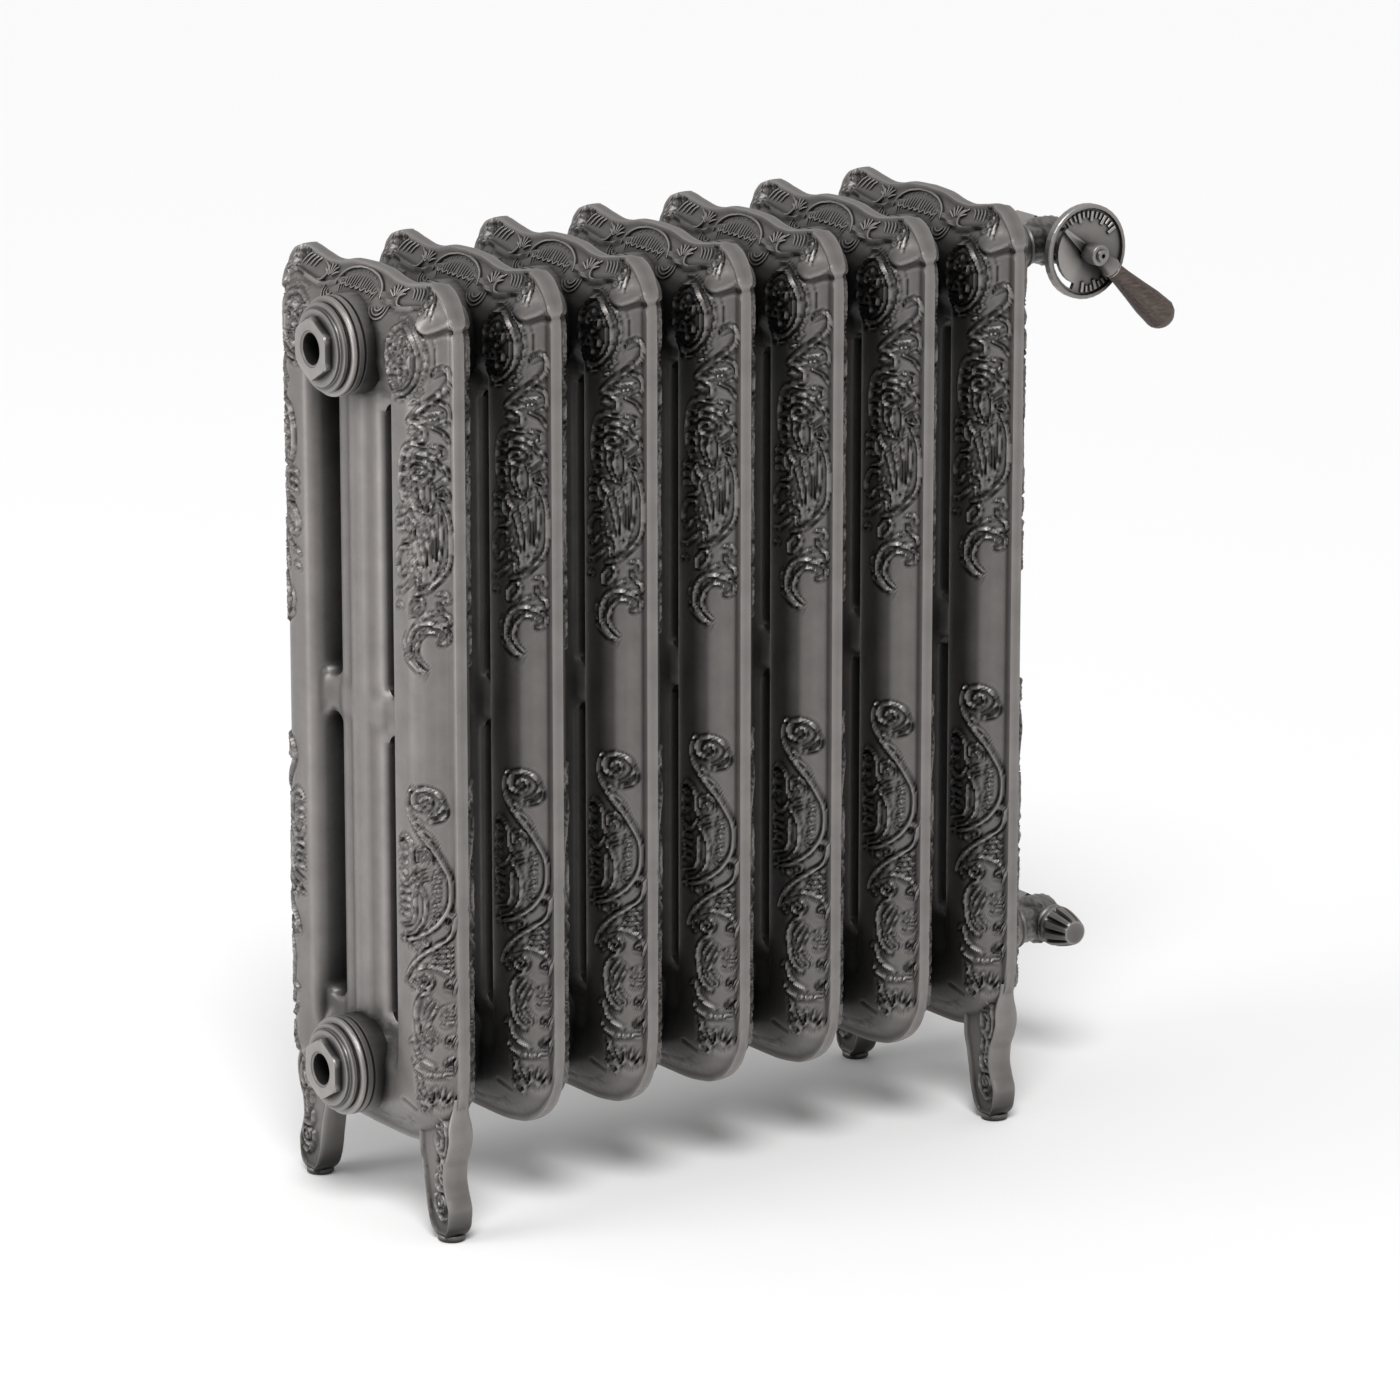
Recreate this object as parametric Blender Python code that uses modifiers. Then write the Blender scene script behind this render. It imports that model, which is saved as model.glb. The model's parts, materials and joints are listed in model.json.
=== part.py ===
"""Ornamental cast-iron column radiator with a dial throttle valve and a lockshield valve.

The row of sections runs along X, the dial and the lever face the room (-Y), +Z is up and the
floor is Z = 0. Lengths are in metres. Seven hollow sections are joined by hidden nipples and
gaskets; four bushes close the row; the throttle valve is on the upper far port and the
lockshield valve on the lower one.
"""

import math

import bmesh
import bpy
from mathutils import Matrix, Vector

# Driving dimensions of the row -------------------------------------------------------------
COLLECTION = "radiator_with_valve"
SECTIONS = 7
PITCH = 0.076
HUB_SPACING = 0.500
LOWER_HUB_Z = 0.1066
UPPER_HUB_Z = LOWER_HUB_Z + HUB_SPACING
HALF_DEPTH = 0.104
CREST_Z = 0.6595
BELLY_Z = 0.0595
RIM_HALF = 0.004
GAP = 0.0003
FLAT_ANGLE = math.radians(0.2)
SHARP_ANGLE = math.radians(35)

# Hubs, nipples, gaskets and bushes
HUB_RADIUS = 0.034
HUB_FACE = 0.0372
HUB_SIDES = 12
BORE_SIDES = 8
HUB_BORE = 0.021
NIPPLE_RADIUS = HUB_BORE - GAP
NIPPLE_BORE = 0.016
NIPPLE_LENGTH = 0.040
GASKET_OUTER = 0.030
GASKET_INNER = 0.0225
GASKET_THICKNESS = PITCH - 2 * HUB_FACE - 2 * GAP
BUSH_FLANGE_RADIUS = 0.030
BUSH_STEP_RADIUS = 0.0260
BUSH_HEX_RADIUS = 0.0218
BUSH_BORE = 0.0108
BUSH_FLANGE = 0.0036
BUSH_STEP = 0.0030
BUSH_HEX = 0.0052
BUSH_SPIGOT = 0.016
BUSH_FOOT = HUB_FACE + GASKET_THICKNESS + 2 * GAP
BUSH_FACE = BUSH_FOOT + BUSH_FLANGE + BUSH_STEP + BUSH_HEX

# Columns, slots and waterway of a section
SLOT_INNER = 0.0287
SLOT_OUTER = 0.0482
SLOT_MIDDLE_Y = (SLOT_INNER + SLOT_OUTER) / 2
SLOT_WIDTH = SLOT_OUTER - SLOT_INNER
WEB_HALF = 0.0125
SLOT_END = 0.0350
CHEEK = 0.0232
MIDDLE_HALF = 0.0166
RECESS_MARGIN = 0.010
WALL = 0.0045
OUTER_CHANNEL_DEPTH = 0.0285
OUTER_CHANNEL_WIDTH = 0.0310
MIDDLE_CHANNEL_WIDTH = 0.0200
MIDDLE_CHANNEL_DEPTH = 0.0400
HEADER_WIDTH = 0.0260
HEADER_HEIGHT = 0.0240
HEADER_MARGIN = 0.0050

# Legs of the two end sections
LEG_HALF = 0.0095
PAD_RADIUS = 0.0095
PAD_HEIGHT = 0.004
PAD_Y = 0.0850

# Valves
VALVE_SIDES = 16
VALVE_X = (SECTIONS - 1) * PITCH + 0.105
BODY_FRONT = -0.0145
BODY_BACK = 0.024
BODY_RADIUS = 0.0175
PORT_RADIUS = 0.0132
PORT_START = VALVE_X - 0.034
PORT_BORE = 0.009
TAIL_START = (SECTIONS - 1) * PITCH + BUSH_FACE
TAIL_THREAD = 0.014
TAIL_FLANGE = 0.0045
NECK_RADIUS = 0.0098
SHOULDER_RADIUS = 0.0130
UNION_RADIUS = 0.0165
UNION_LIP = 0.0040
UNION_OVERLAP = 0.0095
PIPE_BORE = 0.0077
INLET_FACE = 0.041
INLET_NUT_START = 0.0185
INLET_NUT_RADIUS = 0.0158
INLET_NECK_RADIUS = 0.0120
CHAMBER_BORE = 0.0092
CHAMBER_END = 0.0095
SEAT_BORE = 0.0062
BONNET_RADIUS = 0.0112
BONNET_THREAD = 0.0060
THROTTLE_BONNET_FRONT = 0.0285
LOCKSHIELD_BONNET_FRONT = 0.0222

# Dial and lever of the throttle
DIAL_RADIUS = 0.0338
DIAL_BACK = -0.0365
DIAL_FRONT = -0.0398
DIAL_RIM_FRONT = -0.0420
DIAL_RIM_WIDTH = 0.0034
DIAL_HOLE = 0.0053
SLOT_ARC_RADIUS = 0.0262
SLOT_ARC_HALF = 0.0022
SLOT_ARC_START = math.radians(128)
SLOT_ARC_END = math.radians(246)
LEVER_REST = math.radians(-41)
POINTER_REST = LEVER_REST + math.pi
BOSS_RADIUS = 0.0075
BOSS_FRONT = -0.0580
ARM_Y = -0.0525
ARM_RADIUS = 0.0050
FERRULE_START = 0.0150
GRIP_START = 0.0205
GRIP_END = 0.0850
GRIP_RADIUS = 0.0118
SPINDLE_RADIUS = 0.0040
SPINDLE_END_RADIUS = 0.0032
SPINDLE_SHOULDER = 0.0440
STUD_RADIUS = 0.0024

# Lockshield cap
CAP_BACK = -0.0152
CAP_FRONT = -0.0390
CAP_ROOT_RADIUS = 0.0145
CAP_TIP_RADIUS = 0.0086
CAP_FLUTES = 10
CAP_CLEARANCE = 0.0004

# The part's origin is halfway between the near bushes and the tip of the lever's grip
GRIP_TIP_X = VALVE_X + (GRIP_END - GRIP_RADIUS) * math.cos(LEVER_REST) + GRIP_RADIUS
ORIGIN_X = (GRIP_TIP_X - BUSH_FACE) / 2

ALONG_X = Matrix.Rotation(math.pi / 2, 4, "Y")
ALONG_MINUS_X = Matrix.Rotation(-math.pi / 2, 4, "Y")
TOWARD_FRONT = Matrix.Rotation(math.pi / 2, 4, "X")
SIDE_PLANE = Matrix.Rotation(math.pi / 2, 4, "Z") @ Matrix.Rotation(math.pi / 2, 4, "X")


# Scene and materials -----------------------------------------------------------------------
def clear_scene():
    for old in list(bpy.data.objects):
        bpy.data.objects.remove(old, do_unlink=True)


def new_collection(name):
    collection = bpy.data.collections.new(name)
    bpy.context.scene.collection.children.link(collection)
    return collection


def make_material(name, colour, roughness, metallic):
    material = bpy.data.materials.new(name)
    material.use_nodes = True
    shader = material.node_tree.nodes["Principled BSDF"]
    shader.inputs["Base Color"].default_value = (*colour, 1.0)
    shader.inputs["Roughness"].default_value = roughness
    shader.inputs["Metallic"].default_value = metallic
    material.diffuse_color = (*colour, 1.0)
    return material


clear_scene()
part = new_collection(COLLECTION)
cutters = new_collection("cutters")

cast_iron = make_material("cast_iron_paint", (0.105, 0.098, 0.094), 0.42, 0.55)
bush_iron = make_material("bush_iron", (0.120, 0.112, 0.108), 0.38, 0.60)
nipple_iron = make_material("nipple_iron", (0.20, 0.19, 0.18), 0.50, 0.80)
gasket_fibre = make_material("gasket_fibre", (0.045, 0.040, 0.038), 0.85, 0.0)
valve_brass = make_material("valve_brass_dark", (0.115, 0.107, 0.102), 0.36, 0.85)
bare_brass = make_material("bare_brass", (0.52, 0.40, 0.20), 0.35, 0.95)
seal_rubber = make_material("seal_rubber", (0.03, 0.03, 0.03), 0.80, 0.0)
grip_wood = make_material("grip_wood", (0.060, 0.043, 0.036), 0.55, 0.0)
screw_steel = make_material("screw_steel", (0.22, 0.21, 0.20), 0.32, 0.90)


# Modelling helpers -------------------------------------------------------------------------
def add_object(name, mesh, material, collection=part, matrix=None):
    obj = bpy.data.objects.new(name, mesh)
    if matrix is not None:
        obj.matrix_world = matrix
    if material is not None and not mesh.materials:
        mesh.materials.append(material)
    collection.objects.link(obj)
    if collection is cutters:
        obj.hide_render = True
        obj.display_type = "WIRE"
    return obj


def place(x, y, z):
    """World placement of a point given from the first section's centre."""
    return Matrix.Translation(Vector((x - ORIGIN_X, y, z)))


def merge_flat_faces(shape):
    """Join faces of one plane, so that later cuts add no needless points."""
    bmesh.ops.dissolve_limit(shape, angle_limit=FLAT_ANGLE, verts=shape.verts, edges=shape.edges)


def bmesh_to_mesh(name, shape):
    bmesh.ops.recalc_face_normals(shape, faces=shape.faces)
    mesh = bpy.data.meshes.new(name)
    shape.to_mesh(mesh)
    shape.free()
    return mesh


def cone_mesh(name, radius_low, radius_high, height, segments):
    """Cone or cylinder on Z from 0 to height."""
    shape = bmesh.new()
    bmesh.ops.create_cone(
        shape, cap_ends=True, segments=segments, radius1=radius_low, radius2=radius_high,
        depth=height, matrix=Matrix.Translation((0, 0, height / 2)))
    return bmesh_to_mesh(name, shape)


def bore_mesh(name, radius, height, segments):
    """Cutter on Z whose flat sides, not its corners, lie at the radius."""
    corner = radius / math.cos(math.pi / segments)
    return cone_mesh(name, corner, corner, height, segments)


def box_mesh(name, size):
    shape = bmesh.new()
    bmesh.ops.create_cube(shape, size=1.0, matrix=Matrix.Diagonal((*size, 1.0)))
    return bmesh_to_mesh(name, shape)


def loft_mesh(name, rings):
    """Closed solid through rings that hold the same number of points each."""
    shape = bmesh.new()
    levels = [[shape.verts.new(point) for point in ring] for ring in rings]
    count = len(rings[0])
    for low, high in zip(levels, levels[1:]):
        for i in range(count):
            j = (i + 1) % count
            shape.faces.new((low[i], low[j], high[j], high[i]))
    shape.faces.new(levels[0][::-1])
    shape.faces.new(levels[-1])
    return bmesh_to_mesh(name, shape)


def outline_mesh(name, points, half_thickness):
    """Flat outline extruded both ways along its normal, as a welded mesh."""
    curve = bpy.data.curves.new(name, "CURVE")
    curve.dimensions = "2D"
    curve.fill_mode = "BOTH"
    curve.extrude = half_thickness
    spline = curve.splines.new("POLY")
    spline.points.add(len(points) - 1)
    for knot, (u, v) in zip(spline.points, points):
        knot.co = (u, v, 0.0, 1.0)
    spline.use_cyclic_u = True
    source = bpy.data.objects.new(name, curve)
    cutters.objects.link(source)
    bpy.context.view_layer.update()
    evaluated = source.evaluated_get(bpy.context.evaluated_depsgraph_get())
    mesh = bpy.data.meshes.new_from_object(evaluated)
    bpy.data.objects.remove(source, do_unlink=True)
    bpy.data.curves.remove(curve)
    shape = bmesh.new()
    shape.from_mesh(mesh)
    bmesh.ops.remove_doubles(shape, verts=shape.verts, dist=0.00001)
    merge_flat_faces(shape)
    bpy.data.meshes.remove(mesh)
    return bmesh_to_mesh(name, shape)


def turned(name, profile, material, matrix, steps=24, closed=False, collection=part):
    """Solid of revolution about local Z; the profile of (radius, height) runs down its outer side."""
    mesh = bpy.data.meshes.new(name)
    edges = [(i, i + 1) for i in range(len(profile) - 1)]
    if closed:
        edges.append((len(profile) - 1, 0))
    mesh.from_pydata([(r, 0.0, h) for r, h in profile], edges, [])
    obj = add_object(name, mesh, material, collection, matrix)
    screw = obj.modifiers.new("turn", "SCREW")
    screw.axis = "Z"
    screw.steps = steps
    screw.render_steps = steps
    screw.use_merge_vertices = True
    screw.merge_threshold = 0.00001
    return obj


def boolean(obj, cutter, operation="DIFFERENCE"):
    modifier = obj.modifiers.new(operation.lower(), "BOOLEAN")
    modifier.operation = operation
    modifier.solver = "EXACT"
    modifier.object = cutter


def baked_mesh(obj, name):
    """Evaluated mesh of an object with its modifiers, for objects that share it."""
    bpy.context.view_layer.update()
    evaluated = obj.evaluated_get(bpy.context.evaluated_depsgraph_get())
    mesh = bpy.data.meshes.new_from_object(evaluated)
    mesh.name = name
    mesh.transform(obj.matrix_world)
    shape = bmesh.new()
    shape.from_mesh(mesh)
    merge_flat_faces(shape)
    shape.to_mesh(mesh)
    shape.free()
    return mesh


def apply_and_smooth():
    """Apply the modifiers of every part and shade it smooth, with its real edges kept sharp."""
    bpy.context.view_layer.update()
    graph = bpy.context.evaluated_depsgraph_get()
    cut = [obj for obj in part.objects if obj.modifiers]
    meshes = [bpy.data.meshes.new_from_object(obj.evaluated_get(graph)) for obj in cut]
    for obj, mesh in zip(cut, meshes):
        obj.modifiers.clear()
        obj.data = mesh
    for obj in part.objects:
        obj.data.shade_smooth()
        obj.data.set_sharp_from_angle(angle=SHARP_ANGLE)


def arc(centre_u, centre_v, radius, start, end, steps):
    """Points of an arc in a plane, from start to end in degrees."""
    points = []
    for i in range(steps + 1):
        angle = math.radians(start + (end - start) * i / steps)
        points.append((centre_u + radius * math.cos(angle), centre_v + radius * math.sin(angle)))
    return points


# One section -------------------------------------------------------------------------------
def mirrored_outline(half):
    """Full outline in (depth, height) from a half that runs from the top centre to the bottom centre."""
    left = [(-y, z) for y, z in reversed(half) if y > 0]
    return half + left


def rim_outline():
    crest = [
        (0.0, CREST_Z), (0.045, 0.6540), (0.062, 0.6560), (0.079, 0.6588), (0.0940, 0.6510),
        (0.1035, 0.6345), (0.1008, 0.6310)]
    nose = [(HALF_DEPTH, 0.5840), (HALF_DEPTH, 0.1150)]
    belly = [(0.0985, 0.0910), (0.0850, 0.0745), (0.0620, 0.0632), (0.0350, 0.0598)]
    return mirrored_outline(crest + nose + belly + [(0.0, BELLY_Z)])


def ramp(value, low, high):
    """0 below low, 1 above high and straight between them."""
    return min(max((value - low) / (high - low), 0.0), 1.0)


def inset_outline(points, inset):
    """Outline drawn in: noses along the depth, crest and belly along the height, corners both ways."""
    middle = LOWER_HUB_Z + HUB_SPACING / 2
    result = []
    for y, z in points:
        across = inset * ramp(abs(y), 0.050, 0.094)
        along = 1.3 * inset * ramp(abs(z - middle), 0.235, 0.275)
        result.append((y - math.copysign(across, y), z - math.copysign(along, z - middle)))
    return result


def casting_mesh():
    """Solid casting of a section: thin rim, valley beside it and tube-like cheeks on both sides."""
    outline = rim_outline()
    side = [(RIM_HALF, 0.0), (0.0055, 0.0055), (0.0125, 0.0125), (CHEEK, 0.0280)]
    levels = [(-x, inset) for x, inset in reversed(side)] + side
    rings = [[(x, y, z) for y, z in inset_outline(outline, inset)] for x, inset in levels]
    return loft_mesh("casting", rings)


def middle_column_recess():
    """Cutter beside the middle column, which is thinner than the cheeks between the two hubs."""
    height = HUB_SPACING - 2 * (SLOT_END + RECESS_MARGIN)
    return box_mesh("recess", (2 * RECESS_MARGIN, 2 * SLOT_OUTER + 0.001, height))


def slot_mesh(bottom, top):
    """Through slot with rounded ends, in the side plane."""
    radius = SLOT_WIDTH / 2
    upper = arc(0.0, top - radius, radius, 0, 180, 3)
    lower = arc(0.0, bottom + radius, radius, 180, 360, 3)
    return outline_mesh("slot", upper + lower, 0.045)


def waterway_cutters():
    """Vertical channels in the three columns and a channel along the depth at each hub."""
    middle = box_mesh("channel", (MIDDLE_CHANNEL_WIDTH, MIDDLE_CHANNEL_DEPTH, HUB_SPACING))
    outer = box_mesh("channel", (OUTER_CHANNEL_WIDTH, OUTER_CHANNEL_DEPTH, HUB_SPACING))
    outer_start = SLOT_OUTER + WALL
    outer_y = outer_start + OUTER_CHANNEL_DEPTH / 2
    header_depth = 2 * (outer_start + OUTER_CHANNEL_DEPTH - HEADER_MARGIN)
    header = box_mesh("channel", (HEADER_WIDTH, header_depth, HEADER_HEIGHT))
    centre_z = LOWER_HUB_Z + HUB_SPACING / 2
    shapes = [(middle, Matrix.Translation((0, 0, centre_z)))]
    for side in (-1, 1):
        shapes.append((outer, Matrix.Translation((0, side * outer_y, centre_z))))
    for z in (LOWER_HUB_Z, UPPER_HUB_Z):
        shapes.append((header, Matrix.Translation((0, 0, z))))
    return shapes


def leg_outline():
    """Cabriole leg of the front in (depth, height), knee forward and toe forward."""
    front = [
        (0.1010, 0.1000), (0.0985, 0.0860), (0.1000, 0.0740), (0.0975, 0.0640), (0.0930, 0.0540),
        (0.0925, 0.0440), (0.0955, 0.0330), (0.0988, 0.0230), (0.0975, 0.0130), (0.0920, 0.0065)]
    back = [
        (0.0845, 0.0038), (0.0770, 0.0090), (0.0710, 0.0190), (0.0675, 0.0310), (0.0650, 0.0450),
        (0.0610, 0.0570), (0.0520, 0.0680), (0.0520, 0.0960)]
    return front + back


def section_source(with_legs):
    """Section as a stack of Boolean modifiers on its casting, centred on X = 0."""
    source = add_object("section_source", casting_mesh(), None, cutters)
    hub = cone_mesh("hub", HUB_RADIUS, HUB_RADIUS, 2 * HUB_FACE, HUB_SIDES)
    bore = bore_mesh("bore", HUB_BORE, 0.10, BORE_SIDES)
    middle = LOWER_HUB_Z + HUB_SPACING / 2
    solids = []
    voids = []
    for side in (-1, 1):
        beside = Matrix.Translation((side * (MIDDLE_HALF + RECESS_MARGIN), 0, middle))
        voids.append((middle_column_recess(), beside))
    for z in (LOWER_HUB_Z, UPPER_HUB_Z):
        solids.append((hub, Matrix.Translation((-HUB_FACE, 0, z)) @ ALONG_X))
        voids.append((bore, Matrix.Translation((-0.05, 0, z)) @ ALONG_X))
    if with_legs:
        leg = outline_mesh("leg", leg_outline(), LEG_HALF)
        pad = cone_mesh("pad", PAD_RADIUS, PAD_RADIUS, PAD_HEIGHT + 0.004, 12)
        for side in (0, math.pi):
            turn = Matrix.Rotation(side, 4, "Z")
            solids.append((leg, turn @ SIDE_PLANE))
            solids.append((pad, turn @ Matrix.Translation((0, PAD_Y, 0))))
    lower_slot = slot_mesh(LOWER_HUB_Z + SLOT_END, middle - WEB_HALF)
    upper_slot = slot_mesh(middle + WEB_HALF, UPPER_HUB_Z - SLOT_END)
    for side in (-1, 1):
        shift = Matrix.Translation((0, side * SLOT_MIDDLE_Y, 0))
        voids.append((lower_slot, shift @ SIDE_PLANE))
        voids.append((upper_slot, shift @ SIDE_PLANE))
    for mesh, matrix in solids:
        boolean(source, add_object("section_solid", mesh, None, cutters, matrix), "UNION")
    for mesh, matrix in voids + waterway_cutters():
        boolean(source, add_object("section_void", mesh, None, cutters, matrix))
    return source


def build_sections():
    plain = baked_mesh(section_source(False), "section_plain")
    legged = baked_mesh(section_source(True), "section_with_legs")
    for mesh in (plain, legged):
        mesh.materials.clear()
        mesh.materials.append(cast_iron)
    for old in list(cutters.objects):
        bpy.data.objects.remove(old, do_unlink=True)
    for i in range(SECTIONS):
        mesh = legged if i in (0, SECTIONS - 1) else plain
        add_object(f"section_{i + 1}", mesh, cast_iron, matrix=place(i * PITCH, 0, 0))


# Nipples, gaskets and bushes ---------------------------------------------------------------
def ring_profile(outer, inner, low, high):
    return [(outer, high), (outer, low), (inner, low), (inner, high)]


def build_row_joints():
    """A nipple and a gasket between each two sections, at both hubs."""
    nipple_half = NIPPLE_LENGTH / 2
    nipple = ring_profile(NIPPLE_RADIUS, NIPPLE_BORE, -nipple_half, nipple_half)
    gasket_half = GASKET_THICKNESS / 2
    gasket = ring_profile(GASKET_OUTER, GASKET_INNER, -gasket_half, gasket_half)
    for level, z in (("top", UPPER_HUB_Z), ("bottom", LOWER_HUB_Z)):
        for i in range(SECTIONS - 1):
            centre = place((i + 0.5) * PITCH, 0, z) @ ALONG_X
            turned(f"nipple_{level}_{i + 1}", nipple, nipple_iron, centre, 10, closed=True)
            turned(f"gasket_{level}_{i + 1}", gasket, gasket_fibre, centre, 12, closed=True)


def build_bush(name, matrix):
    """Reducing bush: spigot in the hub, flange, step and hexagon; local +Z points out of the row."""
    foot = BUSH_FOOT
    step = foot + BUSH_FLANGE
    top = step + BUSH_STEP
    profile = [
        (0.0, top), (BUSH_STEP_RADIUS, top), (BUSH_STEP_RADIUS, step), (BUSH_FLANGE_RADIUS, step),
        (BUSH_FLANGE_RADIUS, foot), (NIPPLE_RADIUS, foot), (NIPPLE_RADIUS, foot - BUSH_SPIGOT),
        (0.0, foot - BUSH_SPIGOT)]
    bush = turned(name, profile, bush_iron, matrix, 18)
    hexagon = cone_mesh("hexagon", BUSH_HEX_RADIUS, BUSH_HEX_RADIUS, BUSH_HEX + 0.002, 6)
    seat = matrix @ Matrix.Translation((0, 0, top - 0.002))
    boolean(bush, add_object(name + "_hexagon", hexagon, None, cutters, seat), "UNION")
    bore = bore_mesh("bush_bore", BUSH_BORE, 0.08, 14)
    boolean(bush, add_object(name + "_bore", bore, None, cutters, matrix))


def build_bushes():
    gasket_middle = HUB_FACE + GAP + GASKET_THICKNESS / 2
    half = GASKET_THICKNESS / 2
    for end, x, turn in (("near", 0.0, ALONG_MINUS_X), ("far", (SECTIONS - 1) * PITCH, ALONG_X)):
        for level, z in (("top", UPPER_HUB_Z), ("bottom", LOWER_HUB_Z)):
            hub = place(x, 0, z) @ turn
            build_bush(f"bush_{end}_{level}", hub)
            profile = ring_profile(GASKET_OUTER, GASKET_INNER, gasket_middle - half, gasket_middle + half)
            turned(f"bush_gasket_{end}_{level}", profile, gasket_fibre, hub, 12, closed=True)


# Parts that both valves share --------------------------------------------------------------
def build_tailpiece(name, z):
    """Union tail: threaded end in the bush, shoulder, neck and seat flange; local +Z is along the row."""
    thread = TAIL_START - TAIL_THREAD
    thread_radius = BUSH_BORE - GAP
    shoulder = TAIL_START + GAP
    flange = PORT_START - TAIL_FLANGE
    face = PORT_START - GAP
    profile = [
        (PORT_RADIUS, face), (PORT_RADIUS, flange), (NECK_RADIUS, flange),
        (NECK_RADIUS, shoulder + 0.0050), (SHOULDER_RADIUS, shoulder + 0.0040),
        (SHOULDER_RADIUS, shoulder), (thread_radius, shoulder), (thread_radius, thread),
        (PIPE_BORE, thread), (PIPE_BORE, face)]
    turned(name, profile, valve_brass, place(0, 0, z) @ ALONG_X, VALVE_SIDES, closed=True)


def build_union_nut(name, z):
    """Coupling nut: its lip holds the tail's flange, its skirt runs over the body's port."""
    lip = PORT_START - TAIL_FLANGE - GAP
    start = lip - UNION_LIP
    end = PORT_START + UNION_OVERLAP
    skirt_bore = PORT_RADIUS + GAP
    lip_bore = NECK_RADIUS + GAP
    profile = [
        (UNION_RADIUS - 0.0015, end), (UNION_RADIUS, end - 0.0015), (UNION_RADIUS, start + 0.0020),
        (UNION_RADIUS - 0.0020, start), (lip_bore, start), (lip_bore, lip),
        (skirt_bore, lip), (skirt_bore, end)]
    turned(name, profile, valve_brass, place(0, 0, z) @ ALONG_X, VALVE_SIDES, closed=True)


def build_valve_body(name, z):
    """Angle body: bulb on the Y axis, port toward the radiator, inlet toward the wall."""
    axis = place(VALVE_X, 0, z) @ TOWARD_FRONT
    front = -BODY_FRONT
    back = -BODY_BACK
    profile = [
        (0.0, front), (0.0128, front), (0.0140, front - 0.0030), (BODY_RADIUS, 0.0060),
        (BODY_RADIUS + 0.0005, 0.0), (BODY_RADIUS - 0.0010, -0.0080), (INLET_NECK_RADIUS, -0.0165),
        (INLET_NECK_RADIUS, back), (0.0, back)]
    body = turned(name, profile, valve_brass, axis, VALVE_SIDES)
    port = cone_mesh("port", PORT_RADIUS, PORT_RADIUS, VALVE_X - PORT_START, VALVE_SIDES)
    port_axis = place(PORT_START, 0, z) @ ALONG_X
    boolean(body, add_object(name + "_port", port, None, cutters, port_axis), "UNION")
    port_bore = bore_mesh("port_bore", PORT_BORE, 0.045, 12)
    chamber = bore_mesh("chamber", CHAMBER_BORE, front + CHAMBER_END + 0.001, 14)
    seat = bore_mesh("seat", SEAT_BORE, 0.020, 12)
    inlet = bore_mesh("inlet", PIPE_BORE, 0.014, 12)
    cuts = [
        (port_bore, place(VALVE_X - 0.045, 0, z) @ ALONG_X),
        (chamber, axis @ Matrix.Translation((0, 0, -CHAMBER_END))),
        (seat, axis @ Matrix.Translation((0, 0, -CHAMBER_END - 0.0085))),
        (inlet, axis @ Matrix.Translation((0, 0, -BODY_BACK - 0.0035)))]
    for mesh, matrix in cuts:
        boolean(body, add_object(name + "_" + mesh.name, mesh, None, cutters, matrix))


def build_inlet_nut(name, z):
    """Compression nut at the wall side, bored for the pipe."""
    axis = place(VALVE_X, 0, z) @ TOWARD_FRONT
    length = INLET_FACE - INLET_NUT_START
    shape = cone_mesh(name, INLET_NUT_RADIUS, INLET_NUT_RADIUS, length, 6)
    nut = add_object(name, shape, valve_brass, matrix=axis @ Matrix.Translation((0, 0, -INLET_FACE)))
    recess = bore_mesh("nut_recess", INLET_NECK_RADIUS + GAP, 0.020, VALVE_SIDES)
    recess_axis = axis @ Matrix.Translation((0, 0, -BODY_BACK - GAP))
    bore = bore_mesh("nut_bore", PIPE_BORE, 0.050, 12)
    bore_axis = axis @ Matrix.Translation((0, 0, -INLET_FACE - 0.01))
    boolean(nut, add_object(name + "_recess", recess, None, cutters, recess_axis))
    boolean(nut, add_object(name + "_bore", bore, None, cutters, bore_axis))


# Throttle valve ----------------------------------------------------------------------------
def build_bonnet(name, z, front):
    """Headwork screwed in the body's front port, with a bore for the spindle."""
    axis = place(VALVE_X, 0, z) @ TOWARD_FRONT
    foot = -BODY_FRONT + GAP
    end = foot - BONNET_THREAD
    thread_radius = CHAMBER_BORE - GAP
    bore = SPINDLE_RADIUS + GAP
    profile = [
        (NECK_RADIUS, front), (BONNET_RADIUS, front - 0.0014), (BONNET_RADIUS, foot),
        (thread_radius, foot), (thread_radius, end), (bore, end), (bore, front)]
    turned(name, profile, valve_brass, axis, VALVE_SIDES, closed=True)


def build_dial(z):
    """Dial plate with a raised rim, a centre hole and an arc slot for the lever's pointer."""
    axis = place(VALVE_X, 0, z) @ TOWARD_FRONT
    rim_inner = DIAL_RADIUS - DIAL_RIM_WIDTH
    rim_front = -DIAL_RIM_FRONT
    bevel = 0.0006
    profile = [
        (DIAL_RADIUS - bevel, rim_front), (DIAL_RADIUS, rim_front - bevel),
        (DIAL_RADIUS, -DIAL_BACK), (DIAL_HOLE, -DIAL_BACK), (DIAL_HOLE, -DIAL_FRONT),
        (rim_inner, -DIAL_FRONT), (rim_inner + bevel, rim_front)]
    dial = turned("dial_plate", profile, valve_brass, axis, 36, closed=True)
    start = math.degrees(SLOT_ARC_START)
    end = math.degrees(SLOT_ARC_END)
    outer = arc(0, 0, SLOT_ARC_RADIUS + SLOT_ARC_HALF, start, end, 10)
    inner = arc(0, 0, SLOT_ARC_RADIUS - SLOT_ARC_HALF, end, start, 10)
    slot = outline_mesh("arc_slot", outer + inner, 0.006)
    slot_axis = place(VALVE_X, DIAL_FRONT, z) @ TOWARD_FRONT
    boolean(dial, add_object("dial_slot", slot, None, cutters, slot_axis))


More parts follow.
